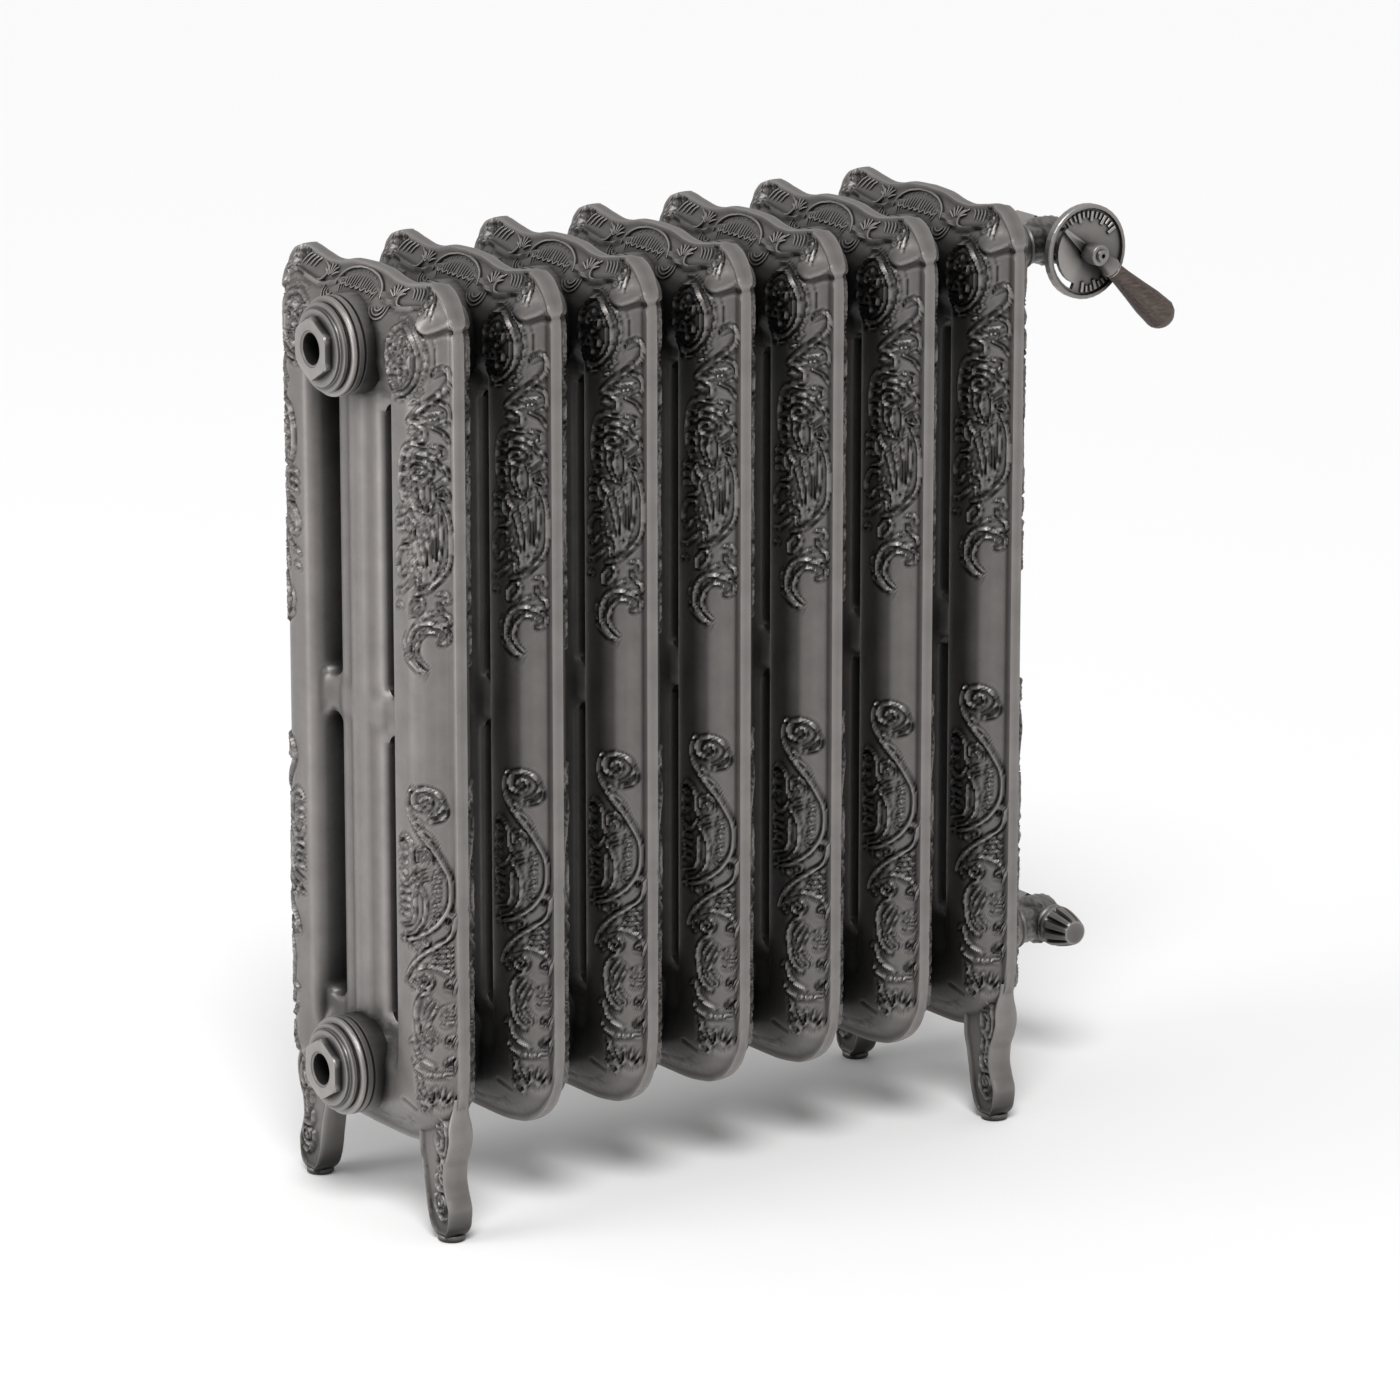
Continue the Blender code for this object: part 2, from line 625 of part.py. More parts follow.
def build_spindle(z):
    """Throttle spindle with its ported rotary plug in the chamber."""
    axis = place(VALVE_X, 0, z) @ TOWARD_FRONT
    plug_radius = CHAMBER_BORE - 0.0006
    tip = 0.0560
    profile = [
        (0.0, 0.0500), (0.0023, 0.0500), (0.0023, tip), (SPINDLE_END_RADIUS, tip),
        (SPINDLE_END_RADIUS, SPINDLE_SHOULDER), (SPINDLE_RADIUS, SPINDLE_SHOULDER - 0.0010),
        (SPINDLE_RADIUS, 0.0070), (plug_radius, 0.0070),
        (plug_radius, -0.0085), (0.0062, -0.0085), (0.0062, 0.0045), (0.0, 0.0045)]
    spindle = turned("throttle_spindle", profile, bare_brass, axis, 16)
    window = box_mesh("window", (0.020, 0.008, 0.007))
    window_place = place(VALVE_X - 0.0085, 0, z) @ TOWARD_FRONT
    boolean(spindle, add_object("spindle_window", window, None, cutters, window_place))


def build_lever(z):
    """Lever arm: boss on the spindle, arm to the ferrule and a pointer whose tab sits in the arc slot."""
    axis = place(VALVE_X, 0, z) @ TOWARD_FRONT
    back = -DIAL_RIM_FRONT + 0.0010
    front = -BOSS_FRONT
    bore = SPINDLE_END_RADIUS + GAP
    shoulder_bore = SPINDLE_RADIUS + GAP
    shoulder = SPINDLE_SHOULDER + GAP
    profile = [
        (bore, front), (BOSS_RADIUS - 0.0010, front), (BOSS_RADIUS, front - 0.0010),
        (BOSS_RADIUS, front - 0.0110), (BOSS_RADIUS - 0.0010, back), (shoulder_bore, back),
        (shoulder_bore, shoulder), (bore, shoulder)]
    lever = turned("lever_arm", profile, valve_brass, axis, 14, closed=True)
    arm = cone_mesh("arm", ARM_RADIUS, ARM_RADIUS, FERRULE_START - GAP - 0.0055, 12)
    arm_axis = lever_axis(z) @ Matrix.Translation((0, 0, 0.0055))
    pointer = outline_mesh("pointer", pointer_outline(), 0.0010)
    blade = place(VALVE_X, -back - 0.0010, z) @ TOWARD_FRONT
    pointer_place = blade @ Matrix.Rotation(POINTER_REST, 4, "Z")
    tab = box_mesh("tab", (0.0030, 0.0024, 0.0054))
    tab_place = pointer_place @ Matrix.Translation((SLOT_ARC_RADIUS, 0, -0.0022))
    for mesh, matrix in ((arm, arm_axis), (pointer, pointer_place), (tab, tab_place)):
        boolean(lever, add_object("lever_" + mesh.name, mesh, None, cutters, matrix), "UNION")


def pointer_outline():
    """Tapered blade along +X, from the boss to the slot."""
    tip = SLOT_ARC_RADIUS + 0.0014
    root = 0.0060
    return [(root, -0.0034), (tip, -0.0014), (tip, 0.0014), (root, 0.0034)]


def lever_axis(z):
    """Local +Z runs from the spindle axis out along the grip."""
    return place(VALVE_X, ARM_Y, z) @ Matrix.Rotation(math.pi / 2 - LEVER_REST, 4, "Y")


def build_lever_fittings(z):
    axis = lever_axis(z)
    ferrule = [
        (0.0, GRIP_START - GAP), (0.0066, GRIP_START - GAP), (0.0068, GRIP_START - 0.0020),
        (0.0056, FERRULE_START + 0.0010), (0.0052, FERRULE_START), (0.0, FERRULE_START)]
    turned("lever_ferrule", ferrule, bare_brass, axis, 14)
    ball = GRIP_END - GRIP_RADIUS
    end = [(r, h) for h, r in arc(ball, 0.0, GRIP_RADIUS, 0, 80, 4)]
    end[0] = (0.0, GRIP_END)
    shank = [
        (0.0108, 0.0600), (0.0088, 0.0450), (0.0070, 0.0300), (0.0062, GRIP_START), (0.0, GRIP_START)]
    turned("lever_grip", end + shank, grip_wood, axis, 16)
    head = -BOSS_FRONT + GAP
    screw = [
        (0.0, head + 0.0022), (0.0040, head + 0.0022), (0.0046, head + 0.0012), (0.0046, head),
        (0.0020, head), (0.0020, 0.0510), (0.0, 0.0510)]
    screw_axis = place(VALVE_X, 0, z) @ TOWARD_FRONT
    screw_object = turned("lever_screw", screw, screw_steel, screw_axis, 12)
    socket = cone_mesh("screw_socket", 0.0017, 0.0017, 0.003, 6)
    socket_axis = screw_axis @ Matrix.Translation((0, 0, head + 0.0008))
    boolean(screw_object, add_object("screw_socket", socket, None, cutters, socket_axis))


def build_gland_nut(z):
    """Nut between the bonnet and the dial that packs the spindle."""
    profile = ring_profile(
        0.0080, SPINDLE_RADIUS + GAP, THROTTLE_BONNET_FRONT + GAP, -DIAL_BACK - GAP)
    axis = place(VALVE_X, 0, z) @ TOWARD_FRONT
    turned("throttle_gland_nut", profile, valve_brass, axis, 12, closed=True)


def build_throttle():
    z = UPPER_HUB_Z
    build_tailpiece("throttle_tailpiece", z)
    build_union_nut("throttle_union_nut", z)
    build_valve_body("throttle_body", z)
    build_inlet_nut("throttle_inlet_nut", z)
    build_bonnet("throttle_bonnet", z, THROTTLE_BONNET_FRONT)
    build_gland_nut(z)
    build_spindle(z)
    build_dial(z)
    build_lever(z)
    build_lever_fittings(z)


# Lockshield valve --------------------------------------------------------------------------
def build_lockshield_spindle(z):
    """Spindle turned with a key; its threaded stud drives the plug to and from the seat."""
    axis = place(VALVE_X, 0, z) @ TOWARD_FRONT
    spindle = [
        (0.0, 0.0290), (0.0026, 0.0290), (0.0026, 0.0230), (SPINDLE_RADIUS, 0.0230),
        (SPINDLE_RADIUS, 0.0083), (STUD_RADIUS, 0.0083), (STUD_RADIUS, 0.0010), (0.0, 0.0010)]
    turned("lockshield_spindle", spindle, bare_brass, axis, 10)
    sleeve_bore = STUD_RADIUS + GAP
    sleeve_radius = 0.0058
    sleeve_front = 0.0078
    seal_radius = CHAMBER_BORE - 0.0008
    plug = [
        (0.0, 0.0005), (sleeve_bore, 0.0005), (sleeve_bore, sleeve_front),
        (sleeve_radius, sleeve_front), (sleeve_radius, 0.0), (seal_radius, 0.0),
        (seal_radius, -0.0012), (0.0068, -0.0032), (0.0, -0.0032)]
    turned("lockshield_plug", plug, seal_rubber, axis, 12)


def build_cap(z):
    """Fluted tapering cap, hollow from behind, that pulls off toward the front."""
    axis = place(VALVE_X, 0, z) @ TOWARD_FRONT
    back = -CAP_BACK
    front = -CAP_FRONT
    bore = BONNET_RADIUS + CAP_CLEARANCE
    profile = [
        (0.0, front), (CAP_TIP_RADIUS - 0.0012, front), (CAP_TIP_RADIUS, front - 0.0012),
        (CAP_ROOT_RADIUS - 0.0005, back + 0.0050), (CAP_ROOT_RADIUS, back + 0.0030),
        (CAP_ROOT_RADIUS, back), (bore, back), (bore, 0.0240), (0.0050, 0.0250), (0.0050, 0.0330),
        (0.0, 0.0330)]
    cap = turned("lockshield_cap", profile, valve_brass, axis, VALVE_SIDES)
    lean = math.atan2(CAP_ROOT_RADIUS - CAP_TIP_RADIUS, front - back - 0.005)
    for i in range(CAP_FLUTES):
        turn = Matrix.Rotation(2 * math.pi * i / CAP_FLUTES, 4, "Z")
        flute = cone_mesh("flute", 0.0024, 0.0016, 0.0200, 6)
        seat = Matrix.Translation((CAP_ROOT_RADIUS + 0.0006, 0, back + 0.0055))
        tilt = Matrix.Rotation(-lean, 4, "Y")
        boolean(cap, add_object(f"cap_flute_{i + 1}", flute, None, cutters, axis @ turn @ seat @ tilt))


def build_lockshield():
    z = LOWER_HUB_Z
    build_tailpiece("lockshield_tailpiece", z)
    build_union_nut("lockshield_union_nut", z)
    build_valve_body("lockshield_body", z)
    build_inlet_nut("lockshield_inlet_nut", z)
    build_bonnet("lockshield_bonnet", z, LOCKSHIELD_BONNET_FRONT)
    build_lockshield_spindle(z)
    build_cap(z)


build_sections()
build_row_joints()
build_bushes()
build_throttle()
build_lockshield()
apply_and_smooth()
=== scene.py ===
"""Looks of the ornamental cast-iron column radiator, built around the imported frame.

The seven sections share two meshes (plain and legged). Each is a quarter surface, half the
thickness over (depth, height), mirrored twice, with the cast ornament drawn on it as raised
strokes. The valves are turned pieces with leaf relief. Shapes are worked out in millimetres
and turned to metres when a mesh is made.
"""

import json
import math

import bmesh
import bpy
import numpy as np
from mathutils import Matrix, Vector


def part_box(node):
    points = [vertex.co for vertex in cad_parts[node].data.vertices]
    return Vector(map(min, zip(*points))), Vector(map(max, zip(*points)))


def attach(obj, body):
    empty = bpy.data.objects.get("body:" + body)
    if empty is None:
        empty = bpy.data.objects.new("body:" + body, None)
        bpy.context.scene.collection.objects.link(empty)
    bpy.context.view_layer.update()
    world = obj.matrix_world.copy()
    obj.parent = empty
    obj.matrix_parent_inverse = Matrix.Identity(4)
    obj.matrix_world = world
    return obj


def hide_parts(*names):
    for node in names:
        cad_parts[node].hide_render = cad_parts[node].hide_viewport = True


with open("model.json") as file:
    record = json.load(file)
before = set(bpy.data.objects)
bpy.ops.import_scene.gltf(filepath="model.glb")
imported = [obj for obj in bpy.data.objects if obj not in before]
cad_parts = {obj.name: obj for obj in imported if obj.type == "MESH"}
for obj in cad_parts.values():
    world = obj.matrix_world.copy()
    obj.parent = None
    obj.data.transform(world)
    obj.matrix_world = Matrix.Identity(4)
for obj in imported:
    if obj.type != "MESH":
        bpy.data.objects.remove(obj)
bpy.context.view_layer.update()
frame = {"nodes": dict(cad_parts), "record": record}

MM = 0.001
SECTIONS = 7

# Places read from the frame, in metres
section_low, section_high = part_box("section_1")
SECTION_X = [sum(c.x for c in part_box(f"section_{i + 1}")) / 2 for i in range(SECTIONS)]
DEPTH = section_high.y / MM
HUB_FACE = (section_high.x - section_low.x) / 2 / MM


def middle_of(node):
    low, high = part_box(node)
    return (low + high) / 2


UPPER_HUB = middle_of("bush_near_top").z / MM
LOWER_HUB = middle_of("bush_near_bottom").z / MM
MIDDLE = (UPPER_HUB + LOWER_HUB) / 2
dial_low, dial_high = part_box("dial_plate")
VALVE_X = (dial_low.x + dial_high.x) / 2

# Section, in millimetres
HUB_RADIUS = 34.0
BORE_RADIUS = 21.0
SLOT_INNER = 28.7
SLOT_OUTER = 48.2
SLOT_END = 35.0
SLOT_MIDDLE = (SLOT_OUTER + SLOT_INNER) / 2
SLOT_RADIUS = (SLOT_OUTER - SLOT_INNER) / 2
SLOT_DIP = 1.4
WEB_HALF = 12.5
WEB_EXTRA = 1.2
HEAD_BLEND = (222, 246)
CREST_STEEPNESS = 1.25
BELLY_STEEPNESS = 1.15
SHARPNESS = 0.9
FINE = 1.46
FINE_FROM = 50.6
COARSE_DEPTH = 4.0
RIM_CROWN = 0.6
STROKE = 0.86
MOAT = 0.8
MOAT_REACH = 3.5
PATH_STEP = 0.6
ROLL_SIDES = 6
ROLL_STEP = 1.2
SLOPE_STEP = 0.2

# Half thickness against depth, in the columns and in the heads
COLUMN = [
    (0, 16.6), (7.6, 16.6), (9.6, 14.4), (24, 13.4), (28.7, 11.6), (38.5, 11.4), (48.2, 13.6),
    (51.5, 19.4), (56, 22.6), (64, 23.4), (74, 23.0), (84, 18.6), (91, 12.2), (96.5, 6.6),
    (99.0, 4.9), (101.0, 4.7), (104, 4.0)]
HEAD = [
    (0, 19.5), (34, 20.0), (60, 22.0), (74, 22.6), (84, 18.6), (91, 12.2), (96.5, 6.6),
    (99.0, 4.9), (101.0, 4.7), (104, 4.0)]
# Half thickness against the distance in from the crest or the belly
EDGE = [
    (0, 4.2), (3.5, 4.6), (6, 6.4), (12, 12.4), (20, 18.2), (30, 22.4), (46, 25.0), (600, 25.0)]
CREST_LINE = [
    (0, 659.5), (20, 658.4), (36, 654.9), (46, 654.0), (62, 656.2), (78, 658.9), (88, 656.0),
    (95, 650.0), (100, 642.0), (104, 633.5)]
BELLY_LINE = [
    (0, 59.5), (35, 60.0), (62, 63.4), (80, 71.0), (91, 80.5), (98, 91.5), (102, 102.0),
    (104, 114.0)]


def smoothstep(value, low, high):
    share = np.clip((value - low) / (high - low), 0.0, 1.0)
    return share * share * (3 - 2 * share)


def curve(x, knots):
    """Smooth line through knots of rising x, which doesn't swing past them."""
    at, height = np.array(knots, float).T
    step = np.diff(at)
    rise = np.diff(height) / step
    slope = np.zeros_like(at)
    product = rise[:-1] * rise[1:]
    total = np.where(product > 0, rise[:-1] + rise[1:], 1.0)
    slope[1:-1] = np.where(product > 0, 2 * product / total, 0.0)
    slope[0], slope[-1] = rise[0], rise[-1]
    inside = np.clip(x, at[0], at[-1])
    i = np.clip(np.searchsorted(at, inside) - 1, 0, len(step) - 1)
    t = (inside - at[i]) / step[i]
    start = height[i] * (2 * t**3 - 3 * t**2 + 1) + slope[i] * step[i] * (t**3 - 2 * t**2 + t)
    end = height[i + 1] * (3 * t**2 - 2 * t**3) + slope[i + 1] * step[i] * (t**3 - t**2)
    return start + end


DEPTH_SAMPLES = np.linspace(0, DEPTH, 1041)
WIDTH_SAMPLES = np.concatenate([[0], np.cumsum(np.hypot(
    np.diff(DEPTH_SAMPLES), np.diff(curve(DEPTH_SAMPLES, HEAD))))])


def along(depth):
    """Distance over the surface from the middle of the head to a depth."""
    return np.interp(depth, DEPTH_SAMPLES, WIDTH_SAMPLES)


def depth_at(distance):
    return np.interp(distance, WIDTH_SAMPLES, DEPTH_SAMPLES)


def slot_bounds():
    """(bottom, top) of the lower and of the upper slots."""
    return [(LOWER_HUB + SLOT_END, MIDDLE - WEB_HALF), (MIDDLE + WEB_HALF, UPPER_HUB - SLOT_END)]


def slot_distance(depth, height, bottom, top):
    """Distance outside a slot's edge, negative inside it."""
    beyond = np.maximum(np.maximum(bottom + SLOT_RADIUS - height, height - top + SLOT_RADIUS), 0)
    return np.hypot(depth - SLOT_MIDDLE, beyond) - SLOT_RADIUS


def half_thickness(depth, height):
    """Smooth casting surface, before the ornament."""
    columns = curve(depth, COLUMN)
    heads = curve(depth, HEAD)
    share = smoothstep(np.abs(height - MIDDLE), *HEAD_BLEND)
    web = 1 - smoothstep(np.abs(height - MIDDLE), 5, 15)
    columns = columns + web * np.where((depth > 10) & (depth < 52), WEB_EXTRA, 0)
    side = columns + (heads - columns) * share
    from_crest = (curve(depth, CREST_LINE) - height) / CREST_STEEPNESS
    from_belly = (height - curve(depth, BELLY_LINE)) / BELLY_STEEPNESS
    ends = np.minimum(curve(from_crest, EDGE), curve(from_belly, EDGE))
    thick = -np.log(np.exp(-SHARPNESS * side) + np.exp(-SHARPNESS * ends)) / SHARPNESS
    for bottom, top in slot_bounds():
        distance = slot_distance(depth, height, bottom, top)
        thick = thick - SLOT_DIP * (1 - smoothstep(distance, -0.5, 2.4))
    return thick


# Cast ornament: strokes on the surface, as (depth, height) points, half width and relief -----
def stroke_list():
    """An empty list of strokes, and the function that adds one to it."""
    strokes = []

    def add(points, width=1.5, rise=1.9):
        strokes.append((points, width, rise))

    return strokes, add


def spiral(depth, height, start_radius, end_radius, start, turns, clockwise=False):
    """Points of a volute from its eye outward; the start angle is in degrees."""
    count = max(8, int(abs(turns) * 14))
    points = []
    for i in range(count + 1):
        share = i / count
        radius = start_radius + (end_radius - start_radius) * share
        angle = math.radians(start) + (-1 if clockwise else 1) * 2 * math.pi * turns * share
        points.append((depth + radius * math.cos(angle), height + radius * math.sin(angle)))
    return points


def fan(base, reach, start, end, count, bend=0.15):
    """Flutes that spread from a base point, each a short bent line."""
    lines = []
    for i in range(count):
        angle = math.radians(start + (end - start) * i / max(count - 1, 1))
        length = reach * (0.82 + 0.18 * math.sin(math.pi * (i + 0.5) / count))
        across = (-math.sin(angle) * bend * length, math.cos(angle) * bend * length)
        direction = (math.cos(angle), math.sin(angle))
        lines.append([
            (base[0] + direction[0] * length * share + across[0] * share * share,
             base[1] + direction[1] * length * share + across[1] * share * share)
            for share in (0.25, 0.5, 0.75, 1.0)])
    return lines


def comb(start, end, length, count, lean=0.0):
    """Short parallel flutes between two points, pointing away from the nose."""
    lines = []
    for i in range(count):
        share = i / max(count - 1, 1)
        depth = start[0] + (end[0] - start[0]) * share
        height = start[1] + (end[1] - start[1]) * share
        lines.append([(depth, height), (depth - length, height + lean)])
    return lines


def lower_ornament():
    """Volute with a long stem, combs, C-scrolls, beads and leaves, from the volute down."""
    strokes, add = stroke_list()

    add(spiral(84, 310.5, 1.2, 10.8, 200, 1.75, clockwise=True), 1.7, 2.3)
    add([(76, 318), (72.6, 311), (73.2, 303), (77, 296), (83, 287), (89, 278), (93, 269),
         (96.6, 259), (97.6, 248), (96, 237), (91, 226), (83, 218), (74, 213.5),
         (63, 212)], 2.3, 2.5)
    add([(94.5, 309), (95.5, 303), (92.5, 298.5), (87, 297)], 1.4, 1.8)
    add([(80, 297), (83, 293)], 1.6, 1.6)
    add([(83, 291), (88, 285), (91, 279)], 1.0, 1.3)
    add([(79, 268), (79.5, 275), (84, 277.5), (88, 273), (88.5, 268)], 1.3, 1.7)
    add([(81, 269), (83.5, 272), (85.5, 268)], 1.0, 1.4)
    add([(62, 280), (67, 284), (73, 282), (76.5, 275), (77, 266), (79.5, 261)], 1.6, 2.1)
    for height in (277.5, 271, 265):
        add([(62, height), (66, height + 0.6), (70.5, height - 0.5)], 1.7, 1.9)
    add([(61.5, 259), (64, 253.5), (69, 251), (74, 254), (77, 259.5)])
    add([(66, 259.5), (70, 257)], 1.6, 1.6)
    add([(78, 255.5), (82, 260.5), (86, 263)], 1.2, 1.6)
    add([(79.5, 252), (84, 256), (88, 257.5)], 1.1, 1.5)
    add([(77.5, 256), (82, 250), (84.8, 241), (84, 230), (80.5, 222), (75, 217),
         (66, 215)], 1.6, 2.1)
    add([(79, 249), (77.5, 241), (78, 233), (76, 226), (70, 222.5), (62, 221)], 1.3, 1.7)
    for height in (246, 240.5, 235, 229.5):
        add([(62, height), (67, height + 1), (72.5, height - 0.6)], 1.8, 1.9)
    for line in comb((92.8, 262), (91.5, 229), 3.4, 11):
        add(line, 1.0, 1.3)
    add(spiral(96.5, 228, 1.0, 4.4, 160, 1.1), 1.2, 1.9)
    add([(92.5, 230), (96, 233.5), (100.3, 231), (99.5, 223.5), (96, 216.5), (90, 210.5),
         (82.5, 203.5), (76, 196), (71.5, 190), (68.5, 183)], 1.9, 2.4)
    add([(84, 216.5), (86.5, 213), (84, 209.5), (81, 213)], 1.2, 1.6)
    add([(72, 208), (76, 210), (79, 206.5)], 1.3, 1.6)
    for line in comb((97.5, 210.5), (97.5, 196.5), 9.0, 5, -0.5):
        add(line, 1.15, 1.5)
    add([(79, 193.5), (87, 196), (93.5, 193), (98.5, 188.5), (101, 183)], 1.6, 2.1)
    add(spiral(97, 183, 1.0, 4.2, 40, 1.3, clockwise=True), 1.2, 1.8)
    add(spiral(83.5, 184.5, 1.0, 5.4, 300, 1.4), 1.4, 2.0)
    add([(79, 184), (75.5, 187.5), (73, 183), (76, 179)], 1.3, 1.6)
    add([(80, 152), (77.5, 160), (78.3, 168), (81.5, 175), (87, 179)], 1.5, 2.1)
    for k, (foot, tip) in enumerate(((163.5, 172), (159, 169.5), (154.5, 167))):
        add([(81.5 + 1.9 * k, foot), (83.2 + 1.9 * k, foot + 5),
             (86.8 + 1.8 * k, tip + 2)], 1.2, 1.3)
    for height in (167.5, 161.5, 155.5):
        add([(92.5, height), (96.5, height + 0.8), (100, height)], 1.3, 1.4)
    add([(78, 157), (79, 149), (82.5, 142), (87, 137.5)], 1.5, 2.0)
    for k in range(3):
        add([(82 + 2.3 * k, 151.5 + 1.5 * k), (84.4 + 2.2 * k, 145.8 + 1.5 * k),
             (87.6 + 1.9 * k, 141 + 1.8 * k)], 1.15, 1.2)
    add(spiral(97, 144, 1.0, 3.9, 60, 1.3, clockwise=True), 1.2, 1.8)
    add(spiral(96.5, 128, 1.0, 4.1, 60, 1.3, clockwise=True), 1.2, 1.8)
    add([(71.5, 141.5), (76, 143.5), (77.5, 138.5), (79.5, 133), (83.5, 128.5),
         (89, 125)], 1.5, 2.0)
    add([(74.5, 129), (77, 124), (82, 120.5), (89, 119.5), (97, 121)], 1.5, 2.0)
    for line in fan((89.5, 96), 15, 35, 152, 8):
        add(line, 1.35, 1.8)
    add(spiral(81, 97.5, 1.2, 4.6, 330, 1.2), 1.3, 1.8)
    add([(78, 116.5), (80.5, 113.5), (79, 108)], 1.3, 1.6)
    return strokes


def upper_ornament():
    """Leaves under the medallion, a framed volute, a feathered wing and a beaded crescent."""
    strokes, add = stroke_list()

    add([(91, 601.5), (95, 605), (99.3, 603), (99, 596), (94.5, 588.5), (88.5, 582), (82, 575.5),
         (77, 570.5)], 1.9, 2.3)
    for depth, height, radius in (
            (82.5, 587, 2.2), (85, 590, 1.8), (79.5, 581.5, 2.3), (83, 582, 1.6)):
        add([(depth - 0.4, height), (depth + 0.4, height)], radius, 1.9)
    add([(90, 582), (95, 582), (99, 577.5), (98.5, 571.5), (94, 568)], 1.4, 1.9)
    add([(84, 574), (89.5, 575), (95, 576)], 1.2, 1.6)
    add([(80, 570), (86.5, 569.5), (93, 571.5)], 1.2, 1.6)
    add([(75.5, 569), (81.5, 568), (86.5, 563.5), (85.8, 557.5), (79.5, 556)], 1.7, 2.2)
    add([(77.5, 562.5), (81.5, 562)], 2.0, 1.9)
    add([(90, 566), (95, 563), (98.5, 557)], 1.3, 1.7)
    add([(87, 552.5), (79, 554), (72, 549.5), (68.6, 541), (67.4, 530), (68.6, 520),
         (73, 512)], 2.0, 2.3)
    for height in (545, 538.5, 532, 525.5, 519):
        add([(69.5, height), (73.5, height + 1.2), (77, height)], 1.7, 1.7)
    add(spiral(83.6, 535.5, 1.2, 8.2, 250, 1.7), 1.5, 2.2)
    add([(78.5, 541), (80.5, 547), (86, 548), (91.5, 544), (94.5, 538)], 1.4, 1.9)
    add([(90, 553), (95, 552), (95.5, 547.5), (92, 546)], 1.3, 1.8)
    add([(92, 541.5), (96.8, 538), (97.2, 532), (93.2, 528), (90, 525)])
    for depth in (76.8, 79.8):
        for height in (529.5, 523.5):
            add([(depth, height), (depth, height + 0.6)], 1.5, 1.7)
    add([(86.3, 530), (84.7, 521), (86.3, 513), (88.6, 507)], 1.3, 1.9)
    add([(89, 529.5), (90.6, 521), (89.8, 513), (88.6, 507)], 1.3, 1.9)
    add([(80.5, 527), (81.5, 518), (84.5, 511)], 1.2, 1.6)
    add(spiral(96.3, 521, 0.8, 4.0, 200, 1.3, clockwise=True), 1.2, 1.8)
    add([(76, 511), (82, 510.5), (88, 508), (91, 510)], 1.3, 1.8)
    add([(76.5, 508), (78.5, 503), (81.5, 499.5)], 1.7, 1.9)
    add([(94, 516.5), (97.3, 507), (99.5, 496), (99.8, 484), (97.5, 472.5), (92.5, 462.5),
         (86.5, 455), (79, 452)], 1.8, 2.3)
    for k in range(4):
        top = (81.0 + 4.2 * k, 499.0 + 3.4 * k)
        knee = (84.6 + 3.2 * k, 485.0 + 2.6 * k)
        low = (86.6 + 2.1 * k, 472.0 + 1.4 * k)
        add([top, knee, low, (87.0 + 0.9 * k, 461.0)], 1.35, 1.3)
    add([(80, 498), (79, 492), (75, 487.5), (69, 486)], 1.4, 1.9)
    add([(77, 508), (74, 503), (74.5, 497), (77.5, 493.5)], 1.3, 1.7)
    for height in (506, 500, 494):
        add([(63, height), (67.5, height + 1.6), (71.5, height + 0.2)], 1.8, 1.8)
    add([(77, 483), (70.5, 483.2), (65.2, 478.5), (63, 471), (65.5, 465), (70.5, 464.8),
         (72.5, 469.5)], 1.8, 2.2)
    for depth, height in (
            (75.6, 477.5), (79.4, 478.5), (76.2, 472.0), (80.4, 473.5), (77.8, 467.0)):
        add([(depth - 0.3, height), (depth + 0.5, height)], 1.7, 1.9)
    add([(80, 472), (84.5, 469.5), (86, 463), (84, 457.5)], 1.4, 1.9)
    add([(79, 463), (82.3, 461), (81.5, 456.5)], 1.3, 1.7)
    add([(78, 461.5), (73.5, 456.5), (68.5, 453.5)])
    add([(61.5, 450.5), (65, 453), (69, 452.5)], 1.6, 1.8)
    add([(61.5, 440.5), (64.5, 443), (68, 442)], 1.6, 1.7)
    add([(76.4, 439.5), (77.8, 445.5), (82.6, 449.3), (85.2, 446.3), (82.5, 440.5), (78.3, 436.8),
         (76.4, 439.5)], 1.25, 1.9)
    add([(92, 453), (96.5, 453.5), (98, 449.5), (94.5, 447.5)], 1.2, 1.7)
    add([(92.5, 447), (94.5, 441), (98.6, 436.8), (96.8, 432.8), (92.5, 433.3)], 1.4, 1.9)
    add([(85, 438.5), (89.5, 439.5), (93, 441.5)], 1.2, 1.6)
    add([(92.8, 419.8), (96.8, 421.3), (97.4, 427), (92.6, 431.3), (86, 433), (80.4, 430),
         (76.6, 423), (75.3, 414), (77.3, 407), (82.5, 402)], 1.7, 2.2)
    add([(93.5, 424.2), (90, 427.3), (85.6, 426.2), (82, 420.5), (80.8, 413), (82.8, 406.5),
         (86.4, 402.5)], 1.3, 1.9)
    for depth, height in (
            (78.1, 412.5), (78.6, 418.0), (80.6, 423.5), (84.0, 428.6), (88.4, 430.0)):
        add([(depth, height), (depth + 0.2, height)], 1.3, 1.7)
    add([(70.5, 409), (75, 406), (80, 401.5), (86, 399.5)], 1.6, 1.9)
    add([(72, 424), (70, 417), (72.5, 411)], 1.3, 1.5)
    return strokes


MEDALLION_DEPTH = 66
MEDALLION_HEIGHT = 608


